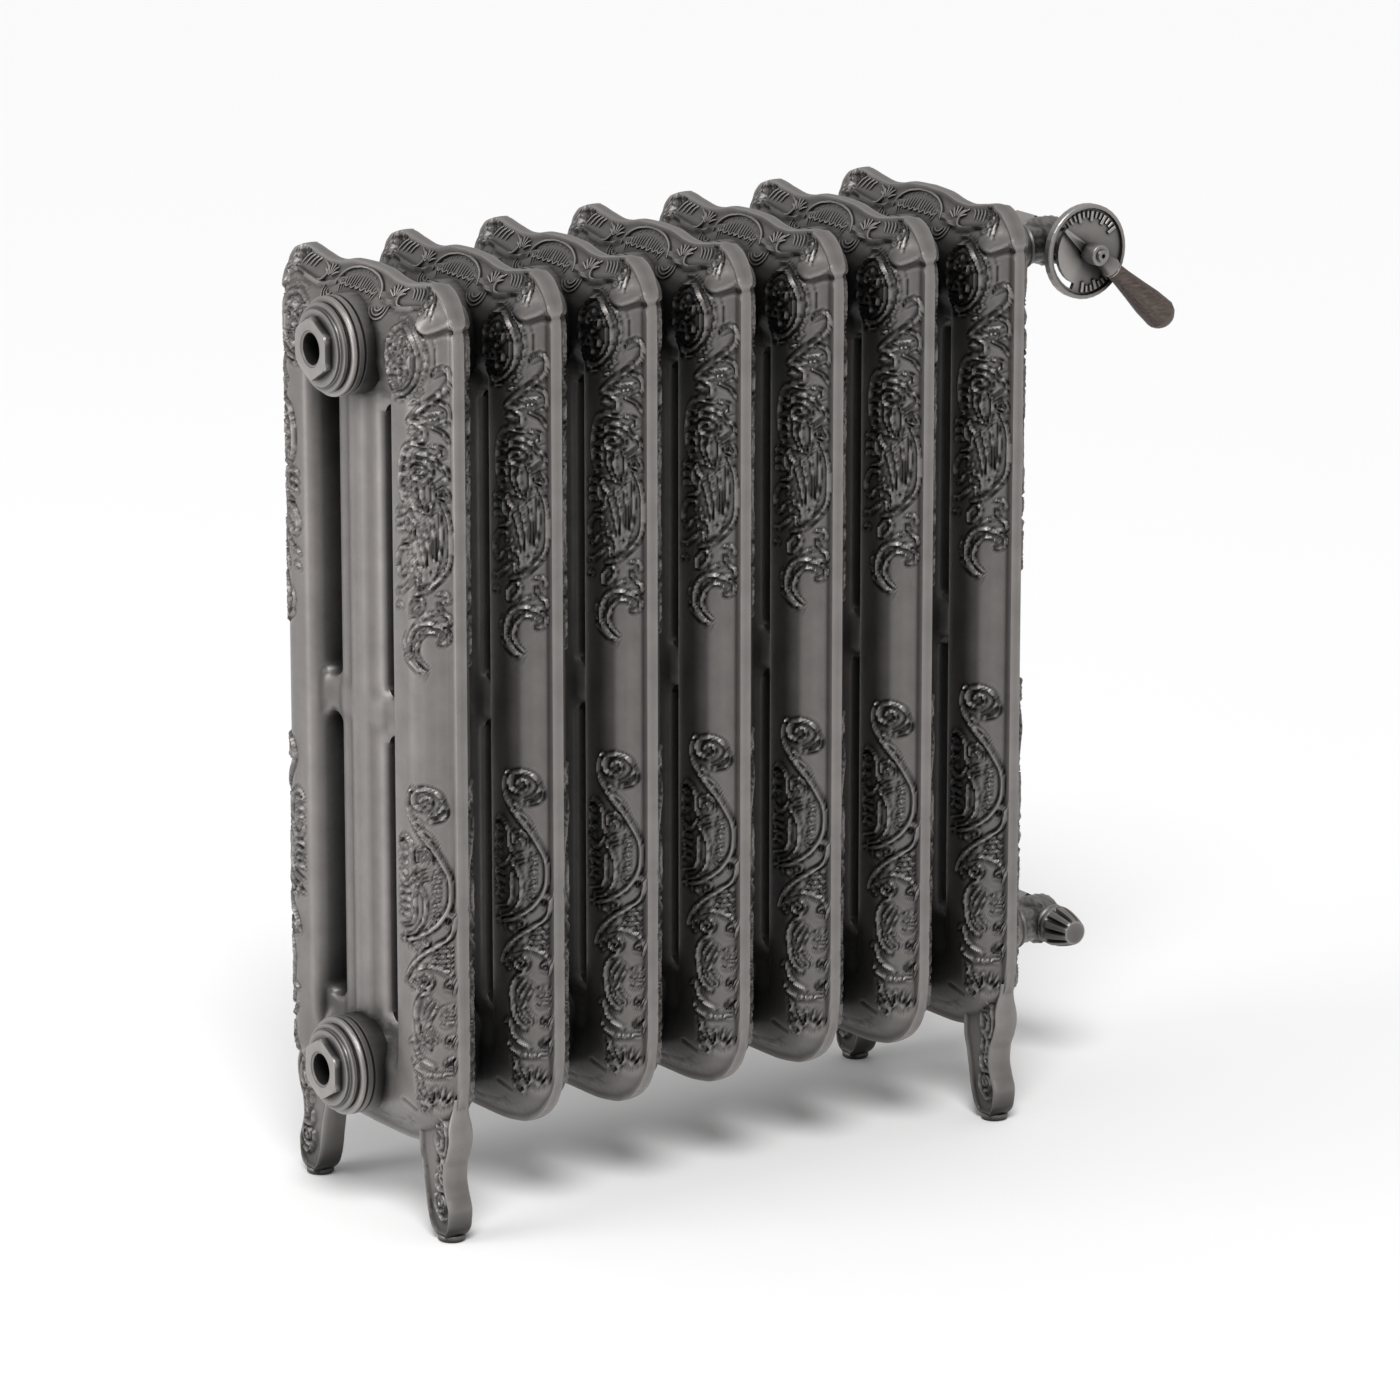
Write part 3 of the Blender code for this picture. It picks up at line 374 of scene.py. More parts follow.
def head_ornament():
    """Frame ridges, oval medallion with curls, and the slits by the cap."""
    strokes, add = stroke_list()

    add([(24, 646), (34, 641), (48, 638.5), (62, 640.5), (76, 643.5), (82, 640)])
    # Oval medallion: two rings, then four curls round a boss
    for reach_depth, reach_height, width, rise in ((17.5, 22.5, 1.5, 2.2), (13.6, 18.2, 1.0, 1.3)):
        add([(MEDALLION_DEPTH + reach_depth * math.cos(math.radians(a)),
              MEDALLION_HEIGHT + reach_height * math.sin(math.radians(a)))
             for a in range(-180, 181, 20)], width, rise)
    for depth, height, start, clockwise in (
            (60.6, 616.0, 300, False), (71.6, 615.0, 240, True), (60.8, 600.2, 60, True),
            (71.4, 601.0, 120, False)):
        add(spiral(depth, height, 0.8, 4.5, start, 1.25, clockwise), 1.35, 2.0)
    add([(65.4, 608), (66.6, 608)], 2.6, 2.4)
    add([(66, 619), (66.4, 623.5)], 1.7, 1.8)
    add([(66, 597), (66.4, 592.5)], 1.7, 1.8)
    # Second frame line on the nose side, turning under the medallion
    add([(58, 634.5), (68, 635.5), (78, 632.5), (85.8, 624), (88, 611), (86, 598), (80, 588.5),
         (71, 583), (60, 581.5)], 1.0, 1.3)
    # Leaf slits beside the cap
    for k in range(5):
        add([(71.5 + 3.6 * k, 656.5 - 0.7 * k), (76.5 + 3.2 * k, 650.0 - 1.2 * k),
             (79.5 + 2.6 * k, 643.5 - 1.4 * k)], 1.0, -2.3)
    add([(91, 624), (92.3, 615), (91.6, 606), (89.5, 598)], 0.9, -1.0)
    return strokes


SHELL_INNER = 37.2
SHELL_OUTER = 44.2
SHELL_LEAN = math.radians(1.6)


def crest_ridges():
    """Leaf fingers, scallops and the shell over the hub, where the grid is too coarse for them."""
    strokes, add = stroke_list()

    for k in range(6):
        angle = math.radians(28 + 25 * k)
        add([(41 - 2.5 * math.cos(angle), 643 + 1.6 * math.sin(angle)),
             (41 - 6.5 * math.cos(angle), 643 + 5.8 * math.sin(angle)),
             (41 - 10.5 * math.cos(angle), 643.4 + 8.6 * math.sin(angle))], 1.15, 1.9)
    add([(52, 651.5), (47, 648), (45, 643.5), (48, 640), (53, 640)], 1.2, 1.8)
    add([(0, 655.9), (8, 655.4), (16, 653.0), (22.5, 649.6), (26.5, 645.2),
         (27.8, 641.0)], 1.25, 2.0)
    for depth, height in ((2.6, 653.4), (7.9, 652.8), (13.0, 651.2), (17.8, 648.8), (21.6, 645.8)):
        add([(depth - 0.5, height), (depth + 0.5, height - 0.2)], 1.35, 1.5)
    for k in range(8):
        angle = math.radians(88 - 4.1 * k)
        leaning = angle - SHELL_LEAN
        add([(SHELL_INNER * math.cos(leaning), UPPER_HUB + SHELL_INNER * math.sin(leaning)),
             (SHELL_OUTER * math.cos(angle), UPPER_HUB + SHELL_OUTER * math.sin(angle))], 0.55, 0.9)
    for reach in (3.4, 6.4, 9.4):
        add([(31 + reach * math.cos(math.radians(a)),
              636.5 + 0.85 * reach * math.sin(math.radians(a)))
             for a in range(190, 371, 30)], 0.95, 1.5)
    for k in range(4):
        add([(22 - 6.5 * k, 644.4), (19 - 6.5 * k, 642.2), (16 - 6.5 * k, 644.2)], 0.9, 1.3)
    for k in range(4):
        add([(57 + 4.2 * k, 652.8 + 0.5 * k), (60 + 4.2 * k, 650.2 + 0.3 * k),
             (62 + 4.2 * k, 646.0 + 0.2 * k)], 1.0, 1.4)
    return strokes


CAP_LIP = [(80, 634.5), (84, 629.2), (88.5, 627.6), (93, 629.6), (97, 631.6), (104, 632.4)]
CAP_SIDE = 80.5


def ear_cap(depth, height):
    """Smooth leaf cap that wraps over the nose under the ear, with a sharp lower lip."""
    lip = curve(depth, CAP_LIP)
    over = smoothstep(height - lip, -0.1, 1.5) * smoothstep(depth, CAP_SIDE - 1.0, CAP_SIDE + 1.2)
    under = np.exp(-((height - lip + 1.5) / 1.3) ** 2) * smoothstep(depth, CAP_SIDE, CAP_SIDE + 3)
    return 2.5 * over - 1.3 * under


def belly_marks():
    return [
        ([(58, 96.5), (65, 94.6), (73, 91.5)], 2.0, -1.2),
        ([(0, 73), (26, 73.5), (50, 77), (66, 84)], 1.4, 0.9)]


def length_along(path):
    """Running length at each point of a flat path."""
    return np.concatenate([[0], np.cumsum(np.hypot(*np.diff(path, axis=0).T))])


def points_at(path, length, target):
    return np.stack([np.interp(target, length, path[:, axis]) for axis in (0, 1)], 1)


def smooth_path(points, spacing):
    """Even points along a smooth line through the given ones."""
    given = np.array([(along(d), h) for d, h in points], float)
    if len(given) == 2:
        fine = given[0] + (given[1] - given[0]) * np.linspace(0, 1, 9)[:, None]
    else:
        padded = np.vstack([2 * given[0] - given[1], given, 2 * given[-1] - given[-2]])
        pieces = []
        for a, b, c, d in zip(padded, padded[1:], padded[2:], padded[3:]):
            t = np.linspace(0, 1, 12, endpoint=False)[:, None]
            pieces.append(0.5 * (2 * b + (c - a) * t + (2 * a - 5 * b + 4 * c - d) * t**2
                                 + (3 * b - a - 3 * c + d) * t**3))
        fine = np.vstack(pieces + [given[-1:]])
    length = length_along(fine)
    count = max(2, int(length[-1] / spacing) + 1)
    return points_at(fine, length, np.linspace(0, length[-1], count))


def relief(depth, height, strokes):
    """Relief of all strokes at each point: rounded ridges with a shallow moat beside them."""
    across = along(depth)
    ridges = np.zeros_like(across)
    moat = np.zeros_like(across)
    grooves = np.zeros_like(across)
    for points, width, rise in strokes:
        width = width * STROKE
        path = smooth_path(points, PATH_STEP)
        share = np.linspace(0, 1, len(path))
        taper = 0.55 + 0.45 * np.sin(math.pi * np.clip(share, 0.02, 0.98)) ** 0.6
        reach = width + MOAT_REACH
        low, high = path.min(0) - reach, path.max(0) + reach
        near = (across > low[0]) & (across < high[0]) & (height > low[1]) & (height < high[1])
        if not near.any():
            continue
        gap = np.hypot(across[near][:, None] - path[:, 0], height[near][:, None] - path[:, 1])
        best = (gap / (width * taper)).argmin(1)
        ratio = gap[np.arange(len(best)), best] / (width * taper[best])
        profile = np.sqrt(np.clip(1 - ratio**2, 0, 1)) * (0.7 + 0.3 * taper[best])
        if rise > 0:
            ridges[near] = np.maximum(ridges[near], rise * profile)
            away = gap[np.arange(len(best)), best] - width * taper[best]
            moat[near] = np.maximum(moat[near], MOAT * np.exp(-(away / 1.0) ** 2))
        else:
            grooves[near] = np.minimum(grooves[near], rise * profile)
    return np.where(ridges > 0.05, ridges, -moat) + grooves


# Mesh building --------------------------------------------------------------------------------
def stations(parts):
    """Stations from (start, end, spacing) parts that follow on from one another."""
    values = [parts[0][0]]
    for start, end, spacing in parts:
        count = max(1, round((end - start) / spacing))
        values.extend(start + (end - start) * (i + 1) / count for i in range(count))
    return np.array(values)


def add_mirror(points, faces, axis):
    """The same surface and its mirror image, welded where the coordinate is exactly 0."""
    count = len(points)
    free = np.abs(points[:, axis]) > 1e-9
    image_index = np.arange(count)
    image_index[free] = count + np.arange(free.sum())
    image = points[free].copy()
    image[:, axis] *= -1
    mirrored = [tuple(int(image_index[v]) for v in reversed(face)) for face in faces]
    return np.vstack([points, image]), faces + mirrored


def mesh_from(name, points, faces):
    mesh = bpy.data.meshes.new(name)
    mesh.from_pydata([tuple(p) for p in points * MM], [], faces)
    mesh.validate()
    mesh.shade_smooth()
    return mesh


ROWS_AT = 76.0


def section_grid():
    """(depth, height) grid of a quarter section: rows follow the crest and the belly."""
    fine_start = along(FINE_FROM)
    fine_end = along(DEPTH - RIM_CROWN)
    columns = list(stations([(0, SLOT_INNER, COARSE_DEPTH), (SLOT_INNER, SLOT_OUTER, 3.9),
                             (SLOT_OUTER, FINE_FROM, 1.2)]))
    count = round((fine_end - fine_start) / FINE)
    crowd = np.linspace(0, 1, count + 1)[1:] ** 0.86
    columns += [float(depth_at(fine_start + (fine_end - fine_start) * share)) for share in crowd]
    depth = np.array(columns)
    low = float(curve(np.array(ROWS_AT), BELLY_LINE)) + RIM_CROWN
    high = float(curve(np.array(ROWS_AT), CREST_LINE)) - RIM_CROWN
    rows = stations([(low, 92, 2.0), (92, 326, FINE), (326, 396, 3.2), (396, high, FINE)])
    share = (rows - low) / (high - low)
    bottom = curve(depth, BELLY_LINE) + RIM_CROWN
    top = curve(depth, CREST_LINE) - RIM_CROWN
    height = bottom[None, :] + share[:, None] * (top - bottom)[None, :]
    return np.broadcast_to(depth, height.shape).copy(), height


def hole_of(depth, height):
    """0 for solid, 1 and 2 for the slots, 3 and 4 for the hubs."""
    found = np.zeros(depth.shape, int)
    for i, (bottom, top) in enumerate(slot_bounds()):
        found[slot_distance(depth, height, bottom, top) < 0] = 1 + i
    for i, hub in enumerate((LOWER_HUB, UPPER_HUB)):
        found[np.hypot(depth, height - hub) < HUB_RADIUS] = 3 + i
    return found


def snap_to_hole(point, hole):
    """The nearest (depth, height) on the hole's edge."""
    depth, height = point
    if hole >= 3:
        hub = (LOWER_HUB, UPPER_HUB)[hole - 3]
        if depth < 1e-6:
            return 0.0, hub + math.copysign(HUB_RADIUS, height - hub)
        scale = HUB_RADIUS / math.hypot(depth, height - hub)
        return depth * scale, hub + (height - hub) * scale
    bottom, top = slot_bounds()[hole - 1]
    level = min(max(height, bottom + SLOT_RADIUS), top - SLOT_RADIUS)
    away = (depth - SLOT_MIDDLE, height - level)
    scale = SLOT_RADIUS / max(math.hypot(*away), 1e-6)
    return SLOT_MIDDLE + away[0] * scale, level + away[1] * scale


def section_quarter():
    """Points and faces of the quarter at +X and +Y, with slot walls, hub collars and rim."""
    depth, height = section_grid()
    rows, columns = depth.shape
    centre_depth = (depth[:-1, :-1] + depth[1:, 1:]) / 2
    centre_height = (height[:-1, :-1] + height[1:, 1:]) / 2
    hole = hole_of(centre_depth, centre_height)
    edge_hole = {}
    for r, c in np.argwhere(hole > 0):
        kind = hole[r, c]
        for dr, dc, a, b in ((-1, 0, (r, c), (r, c + 1)), (1, 0, (r + 1, c + 1), (r + 1, c)),
                             (0, -1, (r + 1, c), (r, c)), (0, 1, (r, c + 1), (r + 1, c + 1))):
            nr, nc = r + dr, c + dc
            if nc < 0 or hole[nr, nc] > 0:
                continue
            edge_hole[(a, b)] = kind
    for (a, b), kind in edge_hole.items():
        for r, c in (a, b):
            depth[r, c], height[r, c] = snap_to_hole((depth[r, c], height[r, c]), kind)
    thick = half_thickness(depth, height)
    strokes = lower_ornament() + upper_ornament() + head_ornament() + belly_marks()
    raised = relief(depth, height, strokes)
    keep = smoothstep(DEPTH - depth, 1.0, 3.5)
    keep = keep * smoothstep(curve(depth, CREST_LINE) - height, 0.8, 4.0)
    keep = keep * smoothstep(height - curve(depth, BELLY_LINE), 0.8, 5.0)
    raised = raised * keep + ear_cap(depth, height) * smoothstep(DEPTH - depth, -0.5, 1.5)
    base = np.stack([thick, depth, height], -1)
    normal = np.cross(np.gradient(base, axis=1), np.gradient(base, axis=0))
    normal /= np.maximum(np.linalg.norm(normal, axis=-1, keepdims=True), 1e-9)
    normal[:, 0, 1] = 0.0
    normal = np.where(normal[..., :1] < 0, -normal, normal)
    surface = base + normal * raised[..., None]
    for (a, b) in edge_hole:
        for r, c in (a, b):
            surface[r, c] = base[r, c]
    surface[:, 0, 1] = 0.0
    points = [tuple(p) for p in surface.reshape(-1, 3)]
    index = np.arange(rows * columns).reshape(rows, columns)
    corners = ((0, 0), (0, 1), (1, 1), (1, 0))
    faces = [tuple(int(index[r + dr, c + dc]) for dr, dc in corners)
             for r, c in np.argwhere(hole == 0)]
    add_hole_walls(points, faces, index, edge_hole, surface)
    add_rim(points, faces, index, surface)
    used = sorted({v for face in faces for v in face})
    new_index = {v: i for i, v in enumerate(used)}
    kept = np.array([points[v] for v in used])
    return kept, [tuple(new_index[v] for v in face) for face in faces]


RING_GROOVE = HUB_RADIUS - 1.3
HUB_COLLAR = [
    (27.0, HUB_RADIUS), (27.6, RING_GROOVE), (28.6, RING_GROOVE), (29.2, HUB_RADIUS),
    (32.4, HUB_RADIUS), (33.0, RING_GROOVE), (34.0, RING_GROOVE), (34.6, HUB_RADIUS - 0.2),
    (HUB_FACE - 0.7, HUB_RADIUS - 0.4), (HUB_FACE, HUB_RADIUS - 1.2),
    (HUB_FACE, BORE_RADIUS + 0.8), (HUB_FACE - 0.8, BORE_RADIUS), (0.0, BORE_RADIUS)]


def add_hole_walls(points, faces, index, edge_hole, surface):
    """Walls of the slots down to the middle plane, and the hubs' collars and bores."""
    chains = {}

    def chain(vertex, kind):
        if vertex in chains:
            return chains[vertex]
        _, y, z = surface[vertex]
        ring = [int(index[vertex])]
        if kind < 3:
            stops = [(0.0, y, z)]
        else:
            hub = (LOWER_HUB, UPPER_HUB)[kind - 3]
            unit = (y / HUB_RADIUS, (z - hub) / HUB_RADIUS)
            stops = [(px, unit[0] * radius, hub + unit[1] * radius) for px, radius in HUB_COLLAR]
        for stop in stops:
            points.append(stop)
            ring.append(len(points) - 1)
        chains[vertex] = ring
        return ring

    for (a, b), kind in edge_hole.items():
        first, second = chain(a, kind), chain(b, kind)
        for low, high, next_low, next_high in zip(first, second, first[1:], second[1:]):
            faces.append((low, high, next_high, next_low))


def add_rim(points, faces, index, surface):
    """Crowned rim from the surface's outer edge to the middle plane."""
    rows, columns = index.shape
    edge = [(0, c) for c in range(columns)] + [(r, columns - 1) for r in range(1, rows)]
    edge += [(rows - 1, c) for c in range(columns - 2, -1, -1)]
    chains = []
    for r, c in edge:
        x, y, z = surface[r, c]
        out_depth = 1.0 if c == columns - 1 else 0.0
        out_height = -1.0 if r == 0 else (1.0 if r == rows - 1 else 0.0)
        ring = [int(index[r, c])]
        for share_x, share_out in ((0.62, 0.75), (0.0, 1.0)):
            points.append((x * share_x, y + out_depth * RIM_CROWN * share_out,
                           z + out_height * RIM_CROWN * share_out))
            ring.append(len(points) - 1)
        chains.append(ring)
    for first, second in zip(chains, chains[1:]):
        for low, high, next_low, next_high in zip(first, second, first[1:], second[1:]):
            faces.append((low, next_low, next_high, high))


def add_ridges(mesh, strokes):
    """Join half-sunk tapered rolls, mirrored to all four quarters, to a section mesh."""
    shape = bmesh.new()
    shape.from_mesh(mesh)
    for line, width, rise in strokes:
        path = smooth_path(line, ROLL_STEP)
        depth, height = depth_at(path[:, 0]), path[:, 1]
        thick = half_thickness(depth, height)
        slope_depth = (half_thickness(depth + SLOPE_STEP, height)
                       - half_thickness(depth - SLOPE_STEP, height)) / (2 * SLOPE_STEP)
        slope_height = (half_thickness(depth, height + SLOPE_STEP)
                        - half_thickness(depth, height - SLOPE_STEP)) / (2 * SLOPE_STEP)
        normal = np.stack([np.ones_like(thick), -slope_depth, -slope_height], 1)
        normal /= np.linalg.norm(normal, axis=1, keepdims=True)
        centre = np.stack([thick, depth, height], 1)
        tangent = np.gradient(centre, axis=0)
        side = np.cross(normal, tangent)
        side /= np.linalg.norm(side, axis=1, keepdims=True)
        share = np.linspace(0, 1, len(path))
        taper = 0.35 + 0.65 * np.sqrt(np.clip(np.sin(math.pi * share), 0, 1))
        angles = np.linspace(0, 2 * math.pi, ROLL_SIDES, endpoint=False)
        for mirror_x in (1, -1):
            for mirror_y in (1, -1):
                rings = []
                for c, n, t, k in zip(centre, normal, side, taper):
                    ring = [c + t * width * k * math.cos(a) + n * rise * k * math.sin(a)
                            for a in angles]
                    rings.append([shape.verts.new(
                        (mirror_x * v[0] * MM, mirror_y * v[1] * MM, v[2] * MM)) for v in ring])
                for low, high in zip(rings, rings[1:]):
                    for i in range(ROLL_SIDES):
                        j = (i + 1) % ROLL_SIDES
                        shape.faces.new((low[i], low[j], high[j], high[i]))
                shape.faces.new(rings[0][::-1])
                shape.faces.new(rings[-1])
    shape.to_mesh(mesh)
    shape.free()
    return outward(mesh)


def section_mesh():
    points, faces = section_quarter()
    points, faces = add_mirror(points, faces, 0)
    points, faces = add_mirror(points, faces, 1)
    mesh = mesh_from("section", points, faces)
    return outward(mesh)


def outward(mesh):
    shape = bmesh.new()
    shape.from_mesh(mesh)
    bmesh.ops.recalc_face_normals(shape, faces=shape.faces)
    shape.to_mesh(mesh)
    shape.free()
    mesh.shade_smooth()
    return mesh


# Legs -----------------------------------------------------------------------------------------
LEG_FRONT = [
    (101.4, 104.0), (99.4, 88.0), (100.4, 75.0), (97.8, 64.0), (93.6, 54.0), (92.8, 44.0),
    (95.7, 33.0), (99.0, 23.0), (97.8, 12.0), (91.5, 2.2)]
LEG_BACK = [
    (60.0, 98.0), (57.5, 76.0), (58.0, 60.0), (61.5, 47.0), (64.5, 33.0), (67.0, 20.0),
    (71.0, 9.5), (78.5, 1.8)]
LEG_HALF = 9.5
LEG_RIM = 1.5
LEG_ROUNDING = 3.0
LEG_LENGTH = 110.0
LEG_RISE = 2.6
PANEL_DEPTH = 2.1
LEG_ROWS = 72
LEG_COLUMNS = 30
PAD_RADIUS = 9.5
PAD_DEPTH = 85.0
PAD_HEIGHT = 4.5
PAD_BEVEL = 0.8


def leg_strokes():
    """Scroll work sunk in the leg's side panel."""
    return [
        (spiral(84.5, 82.0, 1.0, 5.0, 250, 1.3), 1.5),
        ([(86, 88), (91, 84), (93.5, 76), (93, 68), (90, 62)], 1.5),
        ([(80, 77), (79, 70), (83, 65.5), (87.5, 68), (86.5, 73)], 1.6),
        ([(86.5, 78), (89.5, 74), (88.5, 69.5)], 1.4),
        ([(80.5, 65), (85, 63), (88, 58.5), (86, 53)], 1.5),
        ([(82, 60), (80.5, 54), (84, 50), (88, 52)], 1.4),
        ([(89.5, 57), (91, 52), (88.5, 47.5), (84.5, 46)], 1.5),
        ([(86, 50), (85, 45), (88, 41.5), (90.5, 44)], 1.4),
        ([(80, 46), (79.5, 40), (83.5, 36), (89, 36.5)], 1.5),
        (spiral(86.5, 28.5, 1.0, 6.2, 90, 1.5, clockwise=True), 1.5),
        ([(79, 32), (78.5, 25), (82, 19), (87, 15.5), (92, 17.5)], 1.5),
        ([(84, 21), (88, 22)], 1.7)]


def leg_relief(depth, height):
    """Strokes measured on the flat panel."""
    total = np.zeros_like(depth)
    for points, width in leg_strokes():
        path = np.array(points, float)
        length = length_along(path)
        line = points_at(path, length, np.linspace(0, length[-1], max(3, int(length[-1] / 0.5))))
        gap = np.hypot(depth[..., None] - line[:, 0], height[..., None] - line[:, 1]).min(-1)
        total = np.maximum(total, LEG_RISE * np.sqrt(np.clip(1 - (gap / width) ** 2, 0, 1)))
    return total


def leg_mesh():
    """Flat cabriole leg with rounded edges and a sunk, ornamented panel on each side."""
    rows, columns = LEG_ROWS, LEG_COLUMNS
    share = np.linspace(0, 1, rows)

    def side(line):
        path = np.array(line, float)
        length = length_along(path)
        at = length / length[-1]
        return np.stack([curve(share, list(zip(at, path[:, axis]))) for axis in (0, 1)], 1)

    front, back = side(LEG_FRONT), side(LEG_BACK)
    angle = np.linspace(0, math.pi, columns)
    across = (1 - np.cos(angle)) / 2
    across = 0.5 * across + 0.5 * np.linspace(0, 1, columns)
    depth = back[:, None, 0] + (front - back)[:, None, 0] * across[None, :]
    height = back[:, None, 1] + (front - back)[:, None, 1] * across[None, :]
    width = np.hypot(*(front - back).T)[:, None]
    inside = np.minimum(across, 1 - across)[None, :] * width
    ends = np.minimum(share, 1 - share)[:, None] * LEG_LENGTH
    shoulder = 0.62 + 0.38 * smoothstep(share, 0.04, 0.24)[:, None]
    foot = 0.8 + 0.2 * smoothstep(1 - share, 0.0, 0.06)[:, None]
    rounding = np.sqrt(np.clip(1 - (1 - np.clip(inside / LEG_ROUNDING, 0, 1)) ** 2, 0, 1))
    thick = LEG_RIM + (LEG_HALF - LEG_RIM) * rounding
    panel = smoothstep(inside, 3.6, 5.0) * smoothstep(ends, 4.0, 7.0)
    thick = thick * shoulder * foot - panel * (PANEL_DEPTH - leg_relief(depth, height))
    index = np.arange(rows * columns).reshape(rows, columns)
    points = np.stack([thick, depth, height], -1).reshape(-1, 3)
    count = len(points)
    other = points.copy()
    other[:, 0] *= -1
    faces = []
    for r in range(rows - 1):
        for c in range(columns - 1):
            a, b = int(index[r, c]), int(index[r, c + 1])
            d, e = int(index[r + 1, c]), int(index[r + 1, c + 1])
            faces.append((a, b, e, d))
            faces.append((count + d, count + e, count + b, count + a))
    loop = [(0, c) for c in range(columns)] + [(r, columns - 1) for r in range(1, rows)]
    loop += [(rows - 1, c) for c in range(columns - 2, -1, -1)]
    loop += [(r, 0) for r in range(rows - 2, 0, -1)]
    for a, b in zip(loop, loop[1:] + loop[:1]):
        ia, ib = int(index[a]), int(index[b])
        faces.append((ib, ia, count + ia, count + ib))
    return outward(mesh_from("leg", np.vstack([points, other]), faces))


def turned_mesh(name, profile, steps, matrix=None, swell=None, bore=False):
    """Turned solid about Z from (radius, height); swell(angle, height, radius) adds relief."""
    rings = []
    points = []
    for radius, height in profile:
        if radius < 1e-6 and not bore:
            points.append((0.0, 0.0, height))
            rings.append([len(points) - 1])
            continue
        ring = []
        for i in range(steps):
            angle = 2 * math.pi * i / steps
            reach = radius + (swell(angle, height, radius) if swell else 0.0)
            points.append((reach * math.cos(angle), reach * math.sin(angle), height))
            ring.append(len(points) - 1)
        rings.append(ring)
    faces = []
    pairs = list(zip(rings, rings[1:]))
    if bore:
        pairs.append((rings[-1], rings[0]))
    for low, high in pairs:
        for i in range(steps):
            j = (i + 1) % steps
            if len(low) == 1:
                faces.append((low[0], high[j], high[i]))
            elif len(high) == 1:
                faces.append((low[i], low[j], high[0]))
            else:
                faces.append((low[i], low[j], high[j], high[i]))
    mesh = mesh_from(name, np.array(points), faces)
    if matrix is not None:
        mesh.transform(matrix)
    return outward(mesh)


def unite(name, base, tools):
    """Union of closed meshes, as a new mesh."""
    target = bpy.data.objects.new(name, base)
    bpy.context.scene.collection.objects.link(target)
    helpers = []
    for mesh in tools:
        helper = bpy.data.objects.new("helper", mesh)
        bpy.context.scene.collection.objects.link(helper)
        union = target.modifiers.new("union", "BOOLEAN")
        union.operation = "UNION"
        union.solver = "MANIFOLD"
        union.object = helper
        helpers.append(helper)
    bpy.context.view_layer.update()
    evaluated = target.evaluated_get(bpy.context.evaluated_depsgraph_get())
    result = bpy.data.meshes.new_from_object(evaluated)
    result.name = name
    for helper in helpers + [target]:
        bpy.data.objects.remove(helper)
    result.shade_smooth()
    return result


def legged_mesh(plain):
    """Section with its two legs and their pads united with it."""
    leg = leg_mesh()
    pad = turned_mesh("pad", [
        (0, 0), (PAD_RADIUS - PAD_BEVEL, 0), (PAD_RADIUS, PAD_BEVEL),
        (PAD_RADIUS, PAD_HEIGHT - PAD_BEVEL), (PAD_RADIUS - PAD_BEVEL, PAD_HEIGHT),
        (0, PAD_HEIGHT)], 40)
    tools = []
    for turn in (0.0, math.pi):
        spin = Matrix.Rotation(turn, 4, "Z")
        for mesh, depth in ((leg, 0.0), (pad, PAD_DEPTH)):
            tool = mesh.copy()
            tool.transform(spin @ Matrix.Translation((0, depth * MM, 0)))
            tools.append(tool)
    return unite("section_legged", plain.copy(), tools)


# Bushes and valves ----------------------------------------------------------------------------
TOWARD_FRONT = Matrix.Rotation(math.pi / 2, 4, "X")
TOWARD_FAR = Matrix.Rotation(math.pi / 2, 4, "Y")
TOWARD_NEAR = Matrix.Rotation(-math.pi / 2, 4, "Y")
HEX_RADIUS = 21.8
HEX_START = 6.65
BUSH_TOP = 11.8
BUSH_PROFILE = [
    (20.6, -15.9), (20.6, 0.0), (29.2, 0.0), (30.0, 0.7), (30.0, 2.9), (29.4, 3.6), (27.0, 3.6),
    (26.7, 4.3), (26.0, 4.6), (26.0, 6.0), (25.4, 6.6), (22.0, 6.6), (HEX_RADIUS, 6.7),
    (HEX_RADIUS, 11.0), (20.0, 11.8), (12.6, 11.8), (12.2, 11.3), (11.4, 11.3), (10.8, 10.6),
    (10.8, -15.9)]
CAP_PROFILE = [
    (11.7, 15.2), (14.0, 15.2), (14.5, 15.9), (14.5, 17.8), (13.7, 18.6), (14.3, 19.6),
    (14.0, 22.0), (12.9, 26.5), (11.6, 31.0), (10.2, 35.2), (9.3, 37.4), (8.6, 38.7), (7.8, 39.0),
    (7.0, 38.7), (0.0, 38.7)]
FLUTES = 10
FLUTE_START = 19.2
FLUTE_END = 38.0
FLUTE_DEPTH = 2.9
LEVER_ANGLE = math.radians(-41)
LEVER_OUT = -52.5
LEVER_TURN = Matrix.Rotation(math.pi / 2 - LEVER_ANGLE, 4, "Y")
LEVER_AXIS = Matrix.Translation((0, LEVER_OUT * MM, 0)) @ LEVER_TURN
ARM_PROFILE = [
    (0.0, 5.5), (4.9, 5.5), (5.2, 8.0), (6.0, 11.0), (6.9, 13.6), (7.35, 15.6), (7.3, 16.9),
    (6.8, 17.8), (5.8, 18.2), (0.0, 18.2)]
FERRULE_PROFILE = [
    (0.0, 18.4), (5.9, 18.4), (6.4, 18.8), (6.6, 19.4), (6.4, 20.0), (6.1, 20.2), (0.0, 20.2)]
UNION_PROFILE = [
    (9.9, 0.0), (14.2, 0.0), (15.6, 0.9), (16.2, 2.2), (15.2, 3.4), (16.0, 4.6), (16.4, 8.0),
    (16.0, 11.4), (15.2, 12.6), (16.2, 13.8), (15.6, 15.0), (13.4, 15.8), (9.9, 15.8)]


